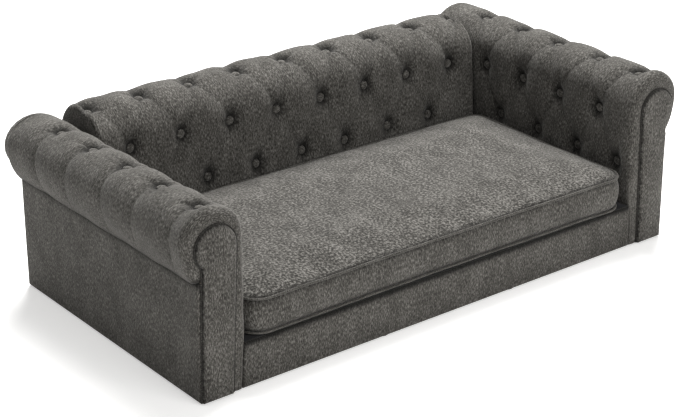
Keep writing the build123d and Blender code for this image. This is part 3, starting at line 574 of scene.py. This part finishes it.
for side, label, planSeed, padSeed in ((1, "right", 61, 11), (-1, "left", 62, 12)):
    def armPlace(position, out, level):
        return columns(side * out, position, sagged(side, position, level))

    rows = armLow + arm["lowRow"], armLow + arm["middleRow"], armCrown + arm["crownRow"]
    armPlan = tuftPlan(arm, armLine, *rows, planSeed)
    pad = padSurface(
        f"{label}ArmPad", armLine, armPlan, armStations(), armPlace, padSeed, side > 0, arm["closing"], arm,
    )
    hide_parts(f"{label}_arm_pad")
    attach(pad, "frame")
    addButtons(f"{label}ArmButtons", armLine, armPlan, armPlace, f"{label}_arm_buttons")
print("arms ready")

# Places are (y, z), and half is half the width between the arms
back = {
    "foot": (156.0, 87.0), "low": (159.0, 185.0), "centre": (248.5, 303.5), "radius": 81.5,
    "seam": (296.0, 241.0), "closing": ((180.0, 87.0), (290.0, 240.0)), "half": 489.0, "endRound": 9.0,
    "endInsets": (16.0, 36.0, 58.0), "fadeEnd": 10.0, "endFall": 4.0, "endReach": 30.0, "fallFrom": 250.0,
    "fallOver": 130.0, "first": -477.0, "pitch": 119.5, "columns": 9, "lowCount": 7, "lowShift": 1.0,
    "seat": 0.0, "lowRow": 3.0, "middleShare": 0.93, "crownRow": -13.0,
}
backLine = crestLine(back)
backLow = np.linalg.norm(np.subtract(back["low"], back["foot"]))
rollStart = back["centre"][0] - back["radius"], back["centre"][1]
backUpper = np.linalg.norm(np.subtract(rollStart, back["low"]))
backCrown = backLow + backUpper + back["radius"] * pi / 2
rows = backLow + back["lowRow"], backLow + backUpper * back["middleShare"], backCrown + back["crownRow"]
backPlan = tuftPlan(back, backLine, *rows, 63)


def backStations():
    # Across from arm to arm; the ends are rounded by a quarter circle where they meet the arms, and close in
    half, bend = back["half"], back["endRound"]
    x = np.linspace(bend - half, half - bend, 360)
    fade = np.clip((half - abs(x)) / back["fadeEnd"], 0.5, 1)
    turn = quarterTurn(12)[1:]
    rim = half - bend * (1 - np.sin(turn))
    closing = np.array(back["endInsets"])
    end = np.vstack([
        columns(rim, rim, bend * (1 - np.cos(turn)), 0.5), columns(half + closing - bend, half, closing, 0),
    ])
    return np.vstack([end[::-1] * (-1, -1, 1, 1), columns(x, x, 0, fade), end])


def backPlace(position, depthwise, level):
    # The roll falls away a little over its last few centimetres, as an exponential of the distance to its end
    half = back["half"]
    fall = back["endFall"] * np.exp(-(half - np.minimum(abs(position), half)) / back["endReach"])
    soft = np.clip((level - back["fallFrom"]) / back["fallOver"], 0, 1)
    return columns(position, depthwise, level - fall * soft)


backPad = padSurface("backPad", backLine, backPlan, backStations(), backPlace, 21, False, back["closing"])
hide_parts("back_pad")
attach(backPad, "frame")
addButtons("backButtons", backLine, backPlan, backPlace, "back_buttons")
print("back ready")


# flare is the share by which a panel is wider at its foot
sideCover = {
    "out": 591.2, "front": -320.5, "rear": 299.0, "foot": 2.6, "top": 240.0, "thickness": 7.4, "bulge": 1.5,
    "bend": 3.4, "flare": 0.0,
}
backCover = {
    "half": 490.0, "plane": 291.0, "foot": 3.0, "top": 240.5, "thickness": 5.5, "bulge": 1.5, "bend": 4.0,
    "flare": 0.027,
}
baseFront = {
    "half": 499.6, "plane": -314.6, "foot": 2.4, "top": 94.4, "thickness": 6.6, "bulge": 1.0, "bend": 4.0,
    "flare": 0.0095,
}


def cushionedPanel(name, corners, size, node, seed):
    # A panel on a flat frame: corners are origin, the end of its width and the end of its height. It bulges
    # along the normal as the root of two sines does, and its rim turns back over bend millimetres as a
    # quarter circle.
    origin, acrossEnd, upEnd = (np.asarray(c, float) for c in corners)
    thickness, bend = size["thickness"], size["bend"]
    w, h = np.linalg.norm(acrossEnd - origin), np.linalg.norm(upEnd - origin)
    a, b = (acrossEnd - origin) / w, (upEnd - origin) / h
    n = np.cross(a, b)

    def spread(length):
        # Places over a length, and how far behind the face the rim is there
        turn = quarterTurn(6)
        rim = np.r_[0, bend * (1 - np.cos(turn))]
        behind = np.r_[-thickness, -bend * (1 - np.sin(turn))]
        middle = np.linspace(bend, length - bend, max(4, int(length / 5)))[1:-1]
        return np.r_[rim, middle, (length - rim)[::-1]], np.r_[behind, middle * 0, behind[::-1]]

    (us, drop), (vs, rise) = spread(w), spread(h)
    u, v = np.meshgrid(us, vs, indexing="ij")
    swell = size["bulge"] * (np.sin(pi * np.clip(u / w, 0, 1)) * np.sin(pi * np.clip(v / h, 0, 1))) ** 0.5
    inner = np.clip(np.minimum(np.minimum(u, w - u), np.minimum(v, h - v)) / 30, 0, 1)
    warp = 0.6 * lumps(u, v, 150.0, seed) * inner
    out = np.maximum(0, thickness + np.minimum(drop[:, None], rise[None, :]) + swell + warp)
    points = origin + u[..., None] * a + v[..., None] * b + out[..., None] * n
    points[..., 0] *= 1 + size["flare"] * (1 - v / h)
    uvs = columns(u - out * 0.5, v + out * 0.5).reshape(-1, 2) * mm
    # Painted shadow: a dark line along the panel's top edge, where the piece above overhangs it
    paintedShade = np.exp(-np.clip(h - v - 4.5, 0, None) / 4.5)
    piece = addMesh(name, points.reshape(-1, 3), gridFaces(*u.shape), coverFabric, uvs, paintedShade.ravel())
    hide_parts(node)
    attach(piece, "frame")


for side, label, seed in ((1, "right", 31), (-1, "left", 32)):
    out, foot, top = side * sideCover["out"], sideCover["foot"], sideCover["top"]
    near, far = (sideCover["front"], sideCover["rear"])[::side]  # the other way round on the left
    corners = (out, near, foot), (out, far, foot), (out, near, top)
    cushionedPanel(f"{label}OuterCover", corners, sideCover, f"{label}_arm_outer_cover", seed)
half, plane, foot, top = (backCover[key] for key in ("half", "plane", "foot", "top"))
corners = (half, plane, foot), (-half, plane, foot), (half, plane, top)
cushionedPanel("backOuterCover", corners, backCover, "back_outer_cover", 33)
half, plane, foot, top = (baseFront[key] for key in ("half", "plane", "foot", "top"))
corners = (-half, plane, foot), (half, plane, foot), (-half, plane, top)
cushionedPanel("baseFront", corners, baseFront, "base_front_cover", 34)
print("covers ready")

# The outline's feet and its outer side are x on the right arm, and out is 1 where a pad faces the rear
facing = {
    "centre": (559.0, 301.0), "radius": 45.0, "innerFoot": 527.0, "outer": 590.2, "outerFoot": 597.0,
    "level": 3.2, "plane": -319.0, "thickness": 9.4, "edge": 5.5, "bulge": 1.6, "seamInset": 2.0,
    "welt": 1.7, "weltPlane": -322.0, "weltLift": 1.0, "out": -1,
}
rearCover = {
    "centre": (559.0, 301.0), "radius": 42.0, "innerFoot": 517.0, "outer": 591.0, "outerFoot": 591.0,
    "level": 3.0, "plane": 296.5, "thickness": 1.5, "edge": 1.0, "bulge": 0.3, "out": 1,
}
# Where a pad's rings end: a line up its middle, from footClear over the floor to headReach over its centre
spineShape = {"levels": (0, 240, 301, 400), "places": (563, 556, 559, 559), "footClear": 40, "headReach": 95}


def keyhole(size, inset=0.0, lift=0.0):
    # From the inner foot up, round the head by an arc and down to the outer foot, as (x, z)
    centre, radius, outer = size["centre"], size["radius"] - inset, size["outer"] - inset
    neck = -degrees(np.arccos((outer - centre[0]) / radius))
    start, end = size["innerFoot"] + inset, size["outerFoot"] - inset
    level = size["level"] + lift
    return np.vstack([(start, level), arcPoints(centre, radius, 180, neck, 40), (end, level)])


def filledOutline(name, outline, size, side):
    # A flat pad from an outline in (x, z): its rings step inwards, first over an edge rounded by a quarter
    # circle, then evenly to the spine while the pad swells as a sine
    outline = smoothLine(np.vstack([outline, outline[:1]]), 3.0, 0)["point"][:-1]
    thickness, edge, out = size["thickness"], size["edge"], size["out"]
    heading = unit(np.roll(outline, -1, 0) - np.roll(outline, 1, 0))
    inward = np.c_[heading[:, 1], -heading[:, 0]]
    rings = [(outline, 0.0)]
    for t in quarterTurn(6):
        rings.append((outline + inward * edge * (1 - cos(t)), thickness - edge + edge * sin(t)))
    last = outline + inward * edge
    spineLevel = np.clip(last[:, 1], spineShape["footClear"], outline[:, 1].mean() + spineShape["headReach"])
    spine = np.c_[np.interp(spineLevel, spineShape["levels"], spineShape["places"]), spineLevel]
    for share in np.linspace(0, 1, 9)[1:]:
        swell = size["bulge"] * sin(pi / 2 * min(1, share * 1.6))
        rings.append((last + (spine - last) * share, thickness + swell))
    points = [columns(side * ring[:, 0], size["plane"] + out * rise, ring[:, 1]) for ring, rise in rings]
    faces = gridFaces(len(rings), len(outline), True, flip=side == out)
    uvs = np.vstack([ring for ring, _ in rings]) * mm
    # Painted shade: the outline's first rings are darkened as a thin shadow line round the edge
    shade = np.repeat([1.0, 0.85, 0.5, 0.3, 0.15] + [0.0] * (len(rings) - 5), len(outline))
    piece = addMesh(name, np.vstack(points), faces, coverFabric, uvs, shade)
    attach(piece, "frame")
    return piece


def tube(name, path, radius, node, body, material, closed=False, count=10, seed=3):
    # A welt, a fabric tube round a cord: rings of points at a slightly uneven radius round the path, each
    # in the plane across it. path in mm; its ends meet where it is closed.
    path = np.asarray(path, float)
    heading = unit(np.roll(path, -1, 0) - np.roll(path, 1, 0) if closed else np.gradient(path, axis=0))
    reference = np.array((0.0, 0.0, 1.0)) if closed else np.array((0.0, 1.0, 0.0))
    sideways = unit(np.cross(heading, reference))
    up = np.cross(sideways, heading)
    lengths = runLength(path)
    size = radius * (1 + 0.05 * lumps(lengths, lengths * 0, 60.0, seed))
    angles = np.linspace(0, 2 * pi, count, endpoint=False)
    c, s = np.cos(angles)[None, :, None], np.sin(angles)[None, :, None]
    points = path[:, None] + size[:, None, None] * (c * sideways[:, None] + s * up[:, None])
    rows = len(path)
    faces = gridFaces(rows, count, True)
    if closed:
        joint = gridFaces(2, count, True)
        faces = np.vstack([faces, np.where(joint < count, joint + (rows - 1) * count, joint - count)])
    uvs = columns(angles[None] * radius, lengths[:, None]).reshape(-1, 2) * mm
    piece = addMesh(name, points.reshape(-1, 3), faces, material, uvs, np.zeros(rows * count))
    roundOff(piece)
    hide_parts(node)
    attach(piece, body)


for side, label in ((1, "right"), (-1, "left")):
    front = filledOutline(f"{label}Facing", keyhole(facing, facing["seamInset"]), facing, side)
    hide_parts(f"{label}_arm_facing")
    path = smoothLine(keyhole(facing, lift=facing["weltLift"]), 3.0, 3.0)["point"]
    path = columns(side * path[:, 0], facing["weltPlane"], path[:, 1])
    tube(f"{label}FacingWelt", path, facing["welt"], f"{label}_arm_facing_welt", "frame", paintedShadeWeltFabric)
    rear = filledOutline(f"{label}RearCover", keyhole(rearCover), rearCover, side)
    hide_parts(f"{label}_arm_rear_cover")

# The cap over the rear end of an arm's roll, from start to end in y, with the dome of its middle
rollEnd = {
    "radius": 65.7, "start": 297.0, "end": 329.0, "round": 28.0, "middle": (34.0, 24.0, 14.0, 6.0, 0.0),
    "dome": 0.6, "domeRadius": 40.0, "gathers": 26, "gatherDepth": 0.5, "gatherRadius": 55.0,
    "gatherSpread": 16.0,
}
for side, label in ((1, "right"), (-1, "left")):
    radius, end, bend = rollEnd["radius"], rollEnd["end"], rollEnd["round"]
    profile = [(radius, rollEnd["start"])]
    profile += [(radius - bend * (1 - cos(t)), end - bend * (1 - sin(t))) for t in quarterTurn(12)]
    profile += [(r, end + rollEnd["dome"] * (1 - r / rollEnd["domeRadius"])) for r in rollEnd["middle"]]
    base, faces = lathe(profile, 96)
    angle, r = np.arctan2(base[:, 1], base[:, 0]), np.hypot(base[:, 0], base[:, 1])
    # Gathers of the cloth run in from the seam over the rounded edge
    fade = np.exp(-(((r - rollEnd["gatherRadius"]) / rollEnd["gatherSpread"]) ** 2))
    ripple = rollEnd["gatherDepth"] * np.sin(angle * rollEnd["gathers"] + 1.3 * np.sin(angle * 3)) * fade
    level = sagged(side, base[:, 2], arm["centre"][1] + base[:, 1])
    points = np.c_[side * (arm["centre"][0] + base[:, 0]), base[:, 2] + ripple, level]
    faces = [face[::side] for face in faces]
    uvs = np.c_[angle * 60, r + base[:, 2]] * mm
    cap = addMesh(f"{label}RollEnd", points, faces, coverFabric, uvs, np.zeros(len(points)))
    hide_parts(f"{label}_arm_roll_end")
    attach(cap, "frame")
print("facings ready")

# lower and upper are the levels of the two piped seams. The grips say where the cloth is held while the
# cushion is blown up, and lowest, highest, foremost and widest are where it has to stop. cap is the most it
# may move.
cushionSize = {
    "half": 487.0, "front": -323.0, "rear": 151.0, "frontCorner": 42.0, "rearCorner": 24.0, "sideDraw": 4.0,
    "lower": 100.0, "upper": 167.8, "crown": 17.0, "under": 4.6, "rim": 4.5, "ridge": 260.0, "welt": 2.7,
    "weltInset": 3.5, "weltRipple": 0.6, "zipDraw": 9.0, "zipHalf": 440.0, "zipFade": 20.0, "zipReach": 12.0,
    "voxel": 0.0071, "pressure": 4.0, "cap": 11.0, "frames": 20, "seamGrip": 4.0, "seamFade": 6.0,
    "zipFront": 128.0, "zipLevel": 133.8, "zipGrip": 22.0, "floorGrip": 96.5,
    "lowest": 94.8, "highest": 190.5, "foremost": -328.5, "widest": 488.5,
    "topFrom": 166.0, "topFade": 6.0, "topLump": 1.1, "flatShare": 0.72, "seamShade": 6.5,
}


def cushionOutline(inset, count=480):
    # Plan outline: round corners as arcs, and sides that draw in between them as a sine. It starts at the
    # middle of the rear.
    half, front, rear = cushionSize["half"] - inset, cushionSize["front"] + inset, cushionSize["rear"] - inset
    fc, rc = cushionSize["frontCorner"] + inset * 0.4, cushionSize["rearCorner"] + inset * 0.4
    draw = cushionSize["sideDraw"]

    def bowed(a, b, offset, steps=40):
        t = np.linspace(0, 1, steps)[:, None]
        return np.asarray(a) * (1 - t) + np.asarray(b) * t + np.sin(pi * t) * np.asarray(offset)

    line = np.vstack([
        bowed((0, rear), (rc - half, rear), (0, 0), 20),
        arcPoints((rc - half, rear - rc), rc, 90, 180, 14),
        bowed((-half, rear - rc), (-half, front + fc), (draw, 0)),
        arcPoints((fc - half, front + fc), fc, 180, 270, 18),
        bowed((fc - half, front), (half - fc, front), (0, draw), 80),
        arcPoints((half - fc, front + fc), fc, 270, 360, 18),
        bowed((half, front + fc), (half, rear - rc), (-draw, 0)),
        arcPoints((half - rc, rear - rc), rc, 0, 90, 14),
        bowed((half - rc, rear), (0, rear), (0, 0), 20),
    ])
    line = line[np.r_[True, np.linalg.norm(np.diff(line, axis=0), axis=1) > 0.01]]
    lengths = runLength(line)
    return pointsAt(np.linspace(0, lengths[-1], count, endpoint=False), lengths, line)


def cushionShape():
    # Rings of the outline from the middle of the top over the edge, down the band and under to the middle
    # of the bottom. A ring goes from the spine to the outline by its share, and the band's rings bulge as a
    # sine.
    upper, lower, rim, zipDraw = (cushionSize[key] for key in ("upper", "lower", "rim", "zipDraw"))
    inner, outer, deep = cushionOutline(rim), cushionOutline(0.0), cushionOutline(rim + zipDraw)
    count, ridge = len(inner), cushionSize["ridge"]
    middle = (cushionSize["front"] + cushionSize["rear"]) / 2
    spine = columns(np.clip(inner[:, 0], -ridge, ridge), middle)

    def ring(share, height):
        return np.c_[spine + (inner - spine) * share, np.full(count, height)]

    topShares = (
        (0.0, 1.0), (0.2, 0.99), (0.4, 0.97), (0.6, 0.92), (0.75, 0.87), (0.87, 0.76), (0.94, 0.6),
        (0.98, 0.36), (1.0, 0.0),
    )
    underShares = (1.0, 0.0), (0.96, 0.7), (0.9, 1.0), (0.6, 1.0), (0.3, 1.0), (0.0, 1.0)
    rings = [ring(s, upper + cushionSize["crown"] * r - 1) for s, r in topShares]
    # The band bulges, except at the rear, where it lies in behind the zip
    zipped = np.clip((cushionSize["zipHalf"] - abs(inner[:, 0])) / cushionSize["zipFade"], 0, 1)
    zipped = zipped * (inner[:, 1] > cushionSize["rear"] - cushionSize["zipReach"])
    for k in range(1, 8):
        full = sin(pi * k / 8)
        drawn = rim * (1 - zipped) * (1 - full) + zipped * (rim + zipDraw * min(1, full * 1.35))
        share = (drawn / (rim + zipDraw))[:, None]
        height = np.full(count, upper + (lower - upper) * k / 8)
        rings.append(np.c_[outer * (1 - share) + deep * share, height])
    rings += [ring(s, lower - cushionSize["under"] * r + 0.3) for s, r in underShares]
    return np.vstack(rings), len(rings), count


points, ringCount, around = cushionShape()
cushion = addMesh("cushion", points, gridFaces(ringCount, around, True, True), seatFabric)


def applyModifier(piece, name):
    bpy.ops.object.select_all(action="DESELECT")
    piece.select_set(True)
    bpy.context.view_layer.objects.active = piece
    bpy.ops.object.modifier_apply(modifier=name)


def coordinatesOf(piece):
    flat = np.empty(len(piece.data.vertices) * 3)
    piece.data.vertices.foreach_get("co", flat)
    return flat.reshape(-1, 3)


remesh = cushion.modifiers.new("remesh", "REMESH")
remesh.mode, remesh.voxel_size, remesh.use_smooth_shade = "VOXEL", cushionSize["voxel"], True
applyModifier(cushion, "remesh")
start = coordinatesOf(cushion)
plan = np.full(len(start), 1e9)
for spot in cushionOutline(4.0) * mm:
    plan = np.minimum(plan, np.hypot(start[:, 0] - spot[0], start[:, 1] - spot[1]))
upperGap = np.hypot(plan, start[:, 2] - cushionSize["upper"] * mm)
lowerGap = np.hypot(plan, start[:, 2] - cushionSize["lower"] * mm)
seamGap = np.minimum(upperGap, lowerGap) - cushionSize["seamGrip"] * mm
seamHold = np.clip(1 - seamGap / (cushionSize["seamFade"] * mm), 0, 1)
zipHold = (
    (start[:, 1] > cushionSize["zipFront"] * mm) & (abs(start[:, 0]) < cushionSize["zipHalf"] * mm)
    & (abs(start[:, 2] - cushionSize["zipLevel"] * mm) < cushionSize["zipGrip"] * mm)
)
hold = np.maximum(seamHold, (zipHold | (start[:, 2] < cushionSize["floorGrip"] * mm)).astype(float))
places = start.copy()
# Blown up as cloth from inside, while the seams, the zip and the underside are held
group = cushion.vertex_groups.new(name="hold")
for index in np.nonzero(hold > 0.02)[0]:
    group.add([int(index)], float(hold[index]), "REPLACE")
cloth = cushion.modifiers.new("cloth", "CLOTH")
settings = cloth.settings
settings.quality, settings.mass = 6, 0.3
settings.use_pressure, settings.uniform_pressure_force = True, cushionSize["pressure"]
settings.tension_stiffness = settings.compression_stiffness = 18.0
settings.shear_stiffness, settings.bending_stiffness = 8.0, 1.2
settings.vertex_group_mass = "hold"
settings.effector_weights.gravity = 0
cloth.collision_settings.use_collision = False
scene, lastFrame = bpy.context.scene, cushionSize["frames"]
scene.frame_start, scene.frame_end = 1, lastFrame
cloth.point_cache.frame_start, cloth.point_cache.frame_end = 1, lastFrame
for number in range(1, lastFrame + 1):
    scene.frame_set(number)
applyModifier(cushion, "cloth")
scene.frame_set(1)
moved = coordinatesOf(cushion) - start
far = np.linalg.norm(moved, axis=1)
most, mean = float(far.max()) / mm, float(far.mean()) / mm
print("cushion moved", round(most, 1), "mm at most,", round(mean, 1), "on average")
places = start + moved * (np.minimum(far, cushionSize["cap"] * mm) / np.maximum(far, 1e-9))[:, None]
cushion.vertex_groups.clear()
onTop = np.clip((places[:, 2] - cushionSize["topFrom"] * mm) / (cushionSize["topFade"] * mm), 0, 1)
places[:, 2] += onTop * cushionSize["topLump"] * mm * lumps(places[:, 0] / mm, places[:, 1] / mm, 150.0, 41)
places[:, 2] = np.clip(places[:, 2], cushionSize["lowest"] * mm, cushionSize["highest"] * mm)
places[:, 1] = np.maximum(places[:, 1], cushionSize["foremost"] * mm)
places[:, 0] = np.clip(places[:, 0], -cushionSize["widest"] * mm, cushionSize["widest"] * mm)
cushion.data.vertices.foreach_set("co", places.ravel())
cushion.data.update()
# Cloth coordinates by which way each face looks: the top is laid in plan and the band hangs from it
mesh = cushion.data
normals = np.empty(len(mesh.polygons) * 3)
mesh.polygons.foreach_get("normal", normals)
normals = normals.reshape(-1, 3)
totals, loopVertex = np.empty(len(mesh.polygons), int), np.empty(len(mesh.loops), np.int32)
mesh.polygons.foreach_get("loop_total", totals)
mesh.loops.foreach_get("vertex_index", loopVertex)
p, n = places[loopVertex], normals[np.repeat(np.arange(len(mesh.polygons)), totals)]
sideways = np.where((abs(n[:, 0]) > abs(n[:, 1]))[:, None], p[:, [1, 2]], p[:, [0, 2]])
uv = np.where((abs(n[:, 2]) > cushionSize["flatShare"])[:, None], p[:, :2], sideways)
mesh.uv_layers.new(name="weave").data.foreach_set("uv", uv.astype(np.float32).ravel())
mesh.materials.append(bandFabric)
mesh.polygons.foreach_set("material_index", (abs(normals[:, 2]) <= cushionSize["flatShare"]).astype(int))
# Painted shade along the piped seams, darkest at the welts
upperGap, lowerGap = (abs(places[:, 2] - cushionSize[key] * mm) for key in ("upper", "lower"))
nearWelt = np.hypot(plan, np.minimum(upperGap, lowerGap)) / (cushionSize["seamShade"] * mm)
tone = mesh.attributes.new("paintedShade", "FLOAT", "POINT")
tone.data.foreach_set("value", (np.exp(-(nearWelt ** 2)) * 0.95).astype(np.float32))
roundOff(cushion)
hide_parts("cushion_top_panel", "cushion_bottom_panel", "cushion_band", "cushion_foam")
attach(cushion, "cushion")
for label, node, seed in (("upper", "cushion_top_welt", 51), ("lower", "cushion_bottom_welt", 52)):
    path = cushionOutline(cushionSize["weltInset"], 720)
    rise = cushionSize["weltRipple"] * lumps(path[:, 0], path[:, 1], 210.0, seed)
    path = np.c_[path, cushionSize[label] + rise]
    tube(f"{label}Welt", path, cushionSize["welt"], node, "cushion", pipingFabric, closed=True, seed=9)
print("cushion ready")

# A pale floor that looks a little brighter than it is lit, as an evenly lit white sweep does
floorGlow = 0.44
floorMaterial, nodes, links, floorShader = newMaterial("floor")
setInput(floorShader, "Base Color", (0.93, 0.925, 0.915, 1))
setInput(floorShader, "Roughness", 0.9)
setInput(floorShader, "Specular IOR Level", 0.1)
setInput(floorShader, "Emission Color", (1.0, 0.995, 0.985, 1))
seen, glow = nodes.new("ShaderNodeLightPath"), nodes.new("ShaderNodeMath")
glow.operation = "MULTIPLY"
glow.inputs[1].default_value = floorGlow
links.new(seen.outputs["Is Camera Ray"], glow.inputs[0])
links.new(glow.outputs[0], floorShader.inputs["Emission Strength"])
floorMesh = bpy.data.meshes.new("floor")
floorMesh.from_pydata([(-30, -30, 0), (30, -30, 0), (30, 30, 0), (-30, 30, 0)], [], [(0, 1, 2, 3)])
floorMesh.materials.append(floorMaterial)
floor = bpy.data.objects.new("floor", floorMesh)
bpy.context.scene.collection.objects.link(floor)

lights = [
    {"name": "top", "place": (1.2, 1.3, 3.9), "aim": (0.0, 0.1, 0.1), "size": (2.2, 2.0), "power": 357.0},
    {"name": "front", "place": (0.6, -4.6, 2.2), "aim": (0.0, 0.0, 0.2), "size": (3.0, 2.4), "power": 112.0},
    {"name": "left", "place": (-4.4, -1.2, 2.2), "aim": (-0.2, 0.0, 0.2), "size": (3.0, 2.4), "power": 13.0},
]
for light in lights:
    data = bpy.data.lights.new(light["name"], "AREA")
    data.shape, data.size, data.size_y = "RECTANGLE", *light["size"]
    data.energy = light["power"]
    lamp = bpy.data.objects.new(light["name"], data)
    lamp.location = light["place"]
    lamp.rotation_euler = (Vector(light["aim"]) - Vector(light["place"])).to_track_quat("-Z", "Y").to_euler()
    bpy.context.scene.collection.objects.link(lamp)
skyGlow = 0.33
world = bpy.data.worlds.new("world")
world.use_nodes = True
background = world.node_tree.nodes["Background"]
background.inputs["Color"].default_value = (1, 1, 1, 1)
background.inputs["Strength"].default_value = skyGlow
bpy.context.scene.world = world
bpy.context.scene.view_settings.view_transform = "Standard"
print("stage ready")
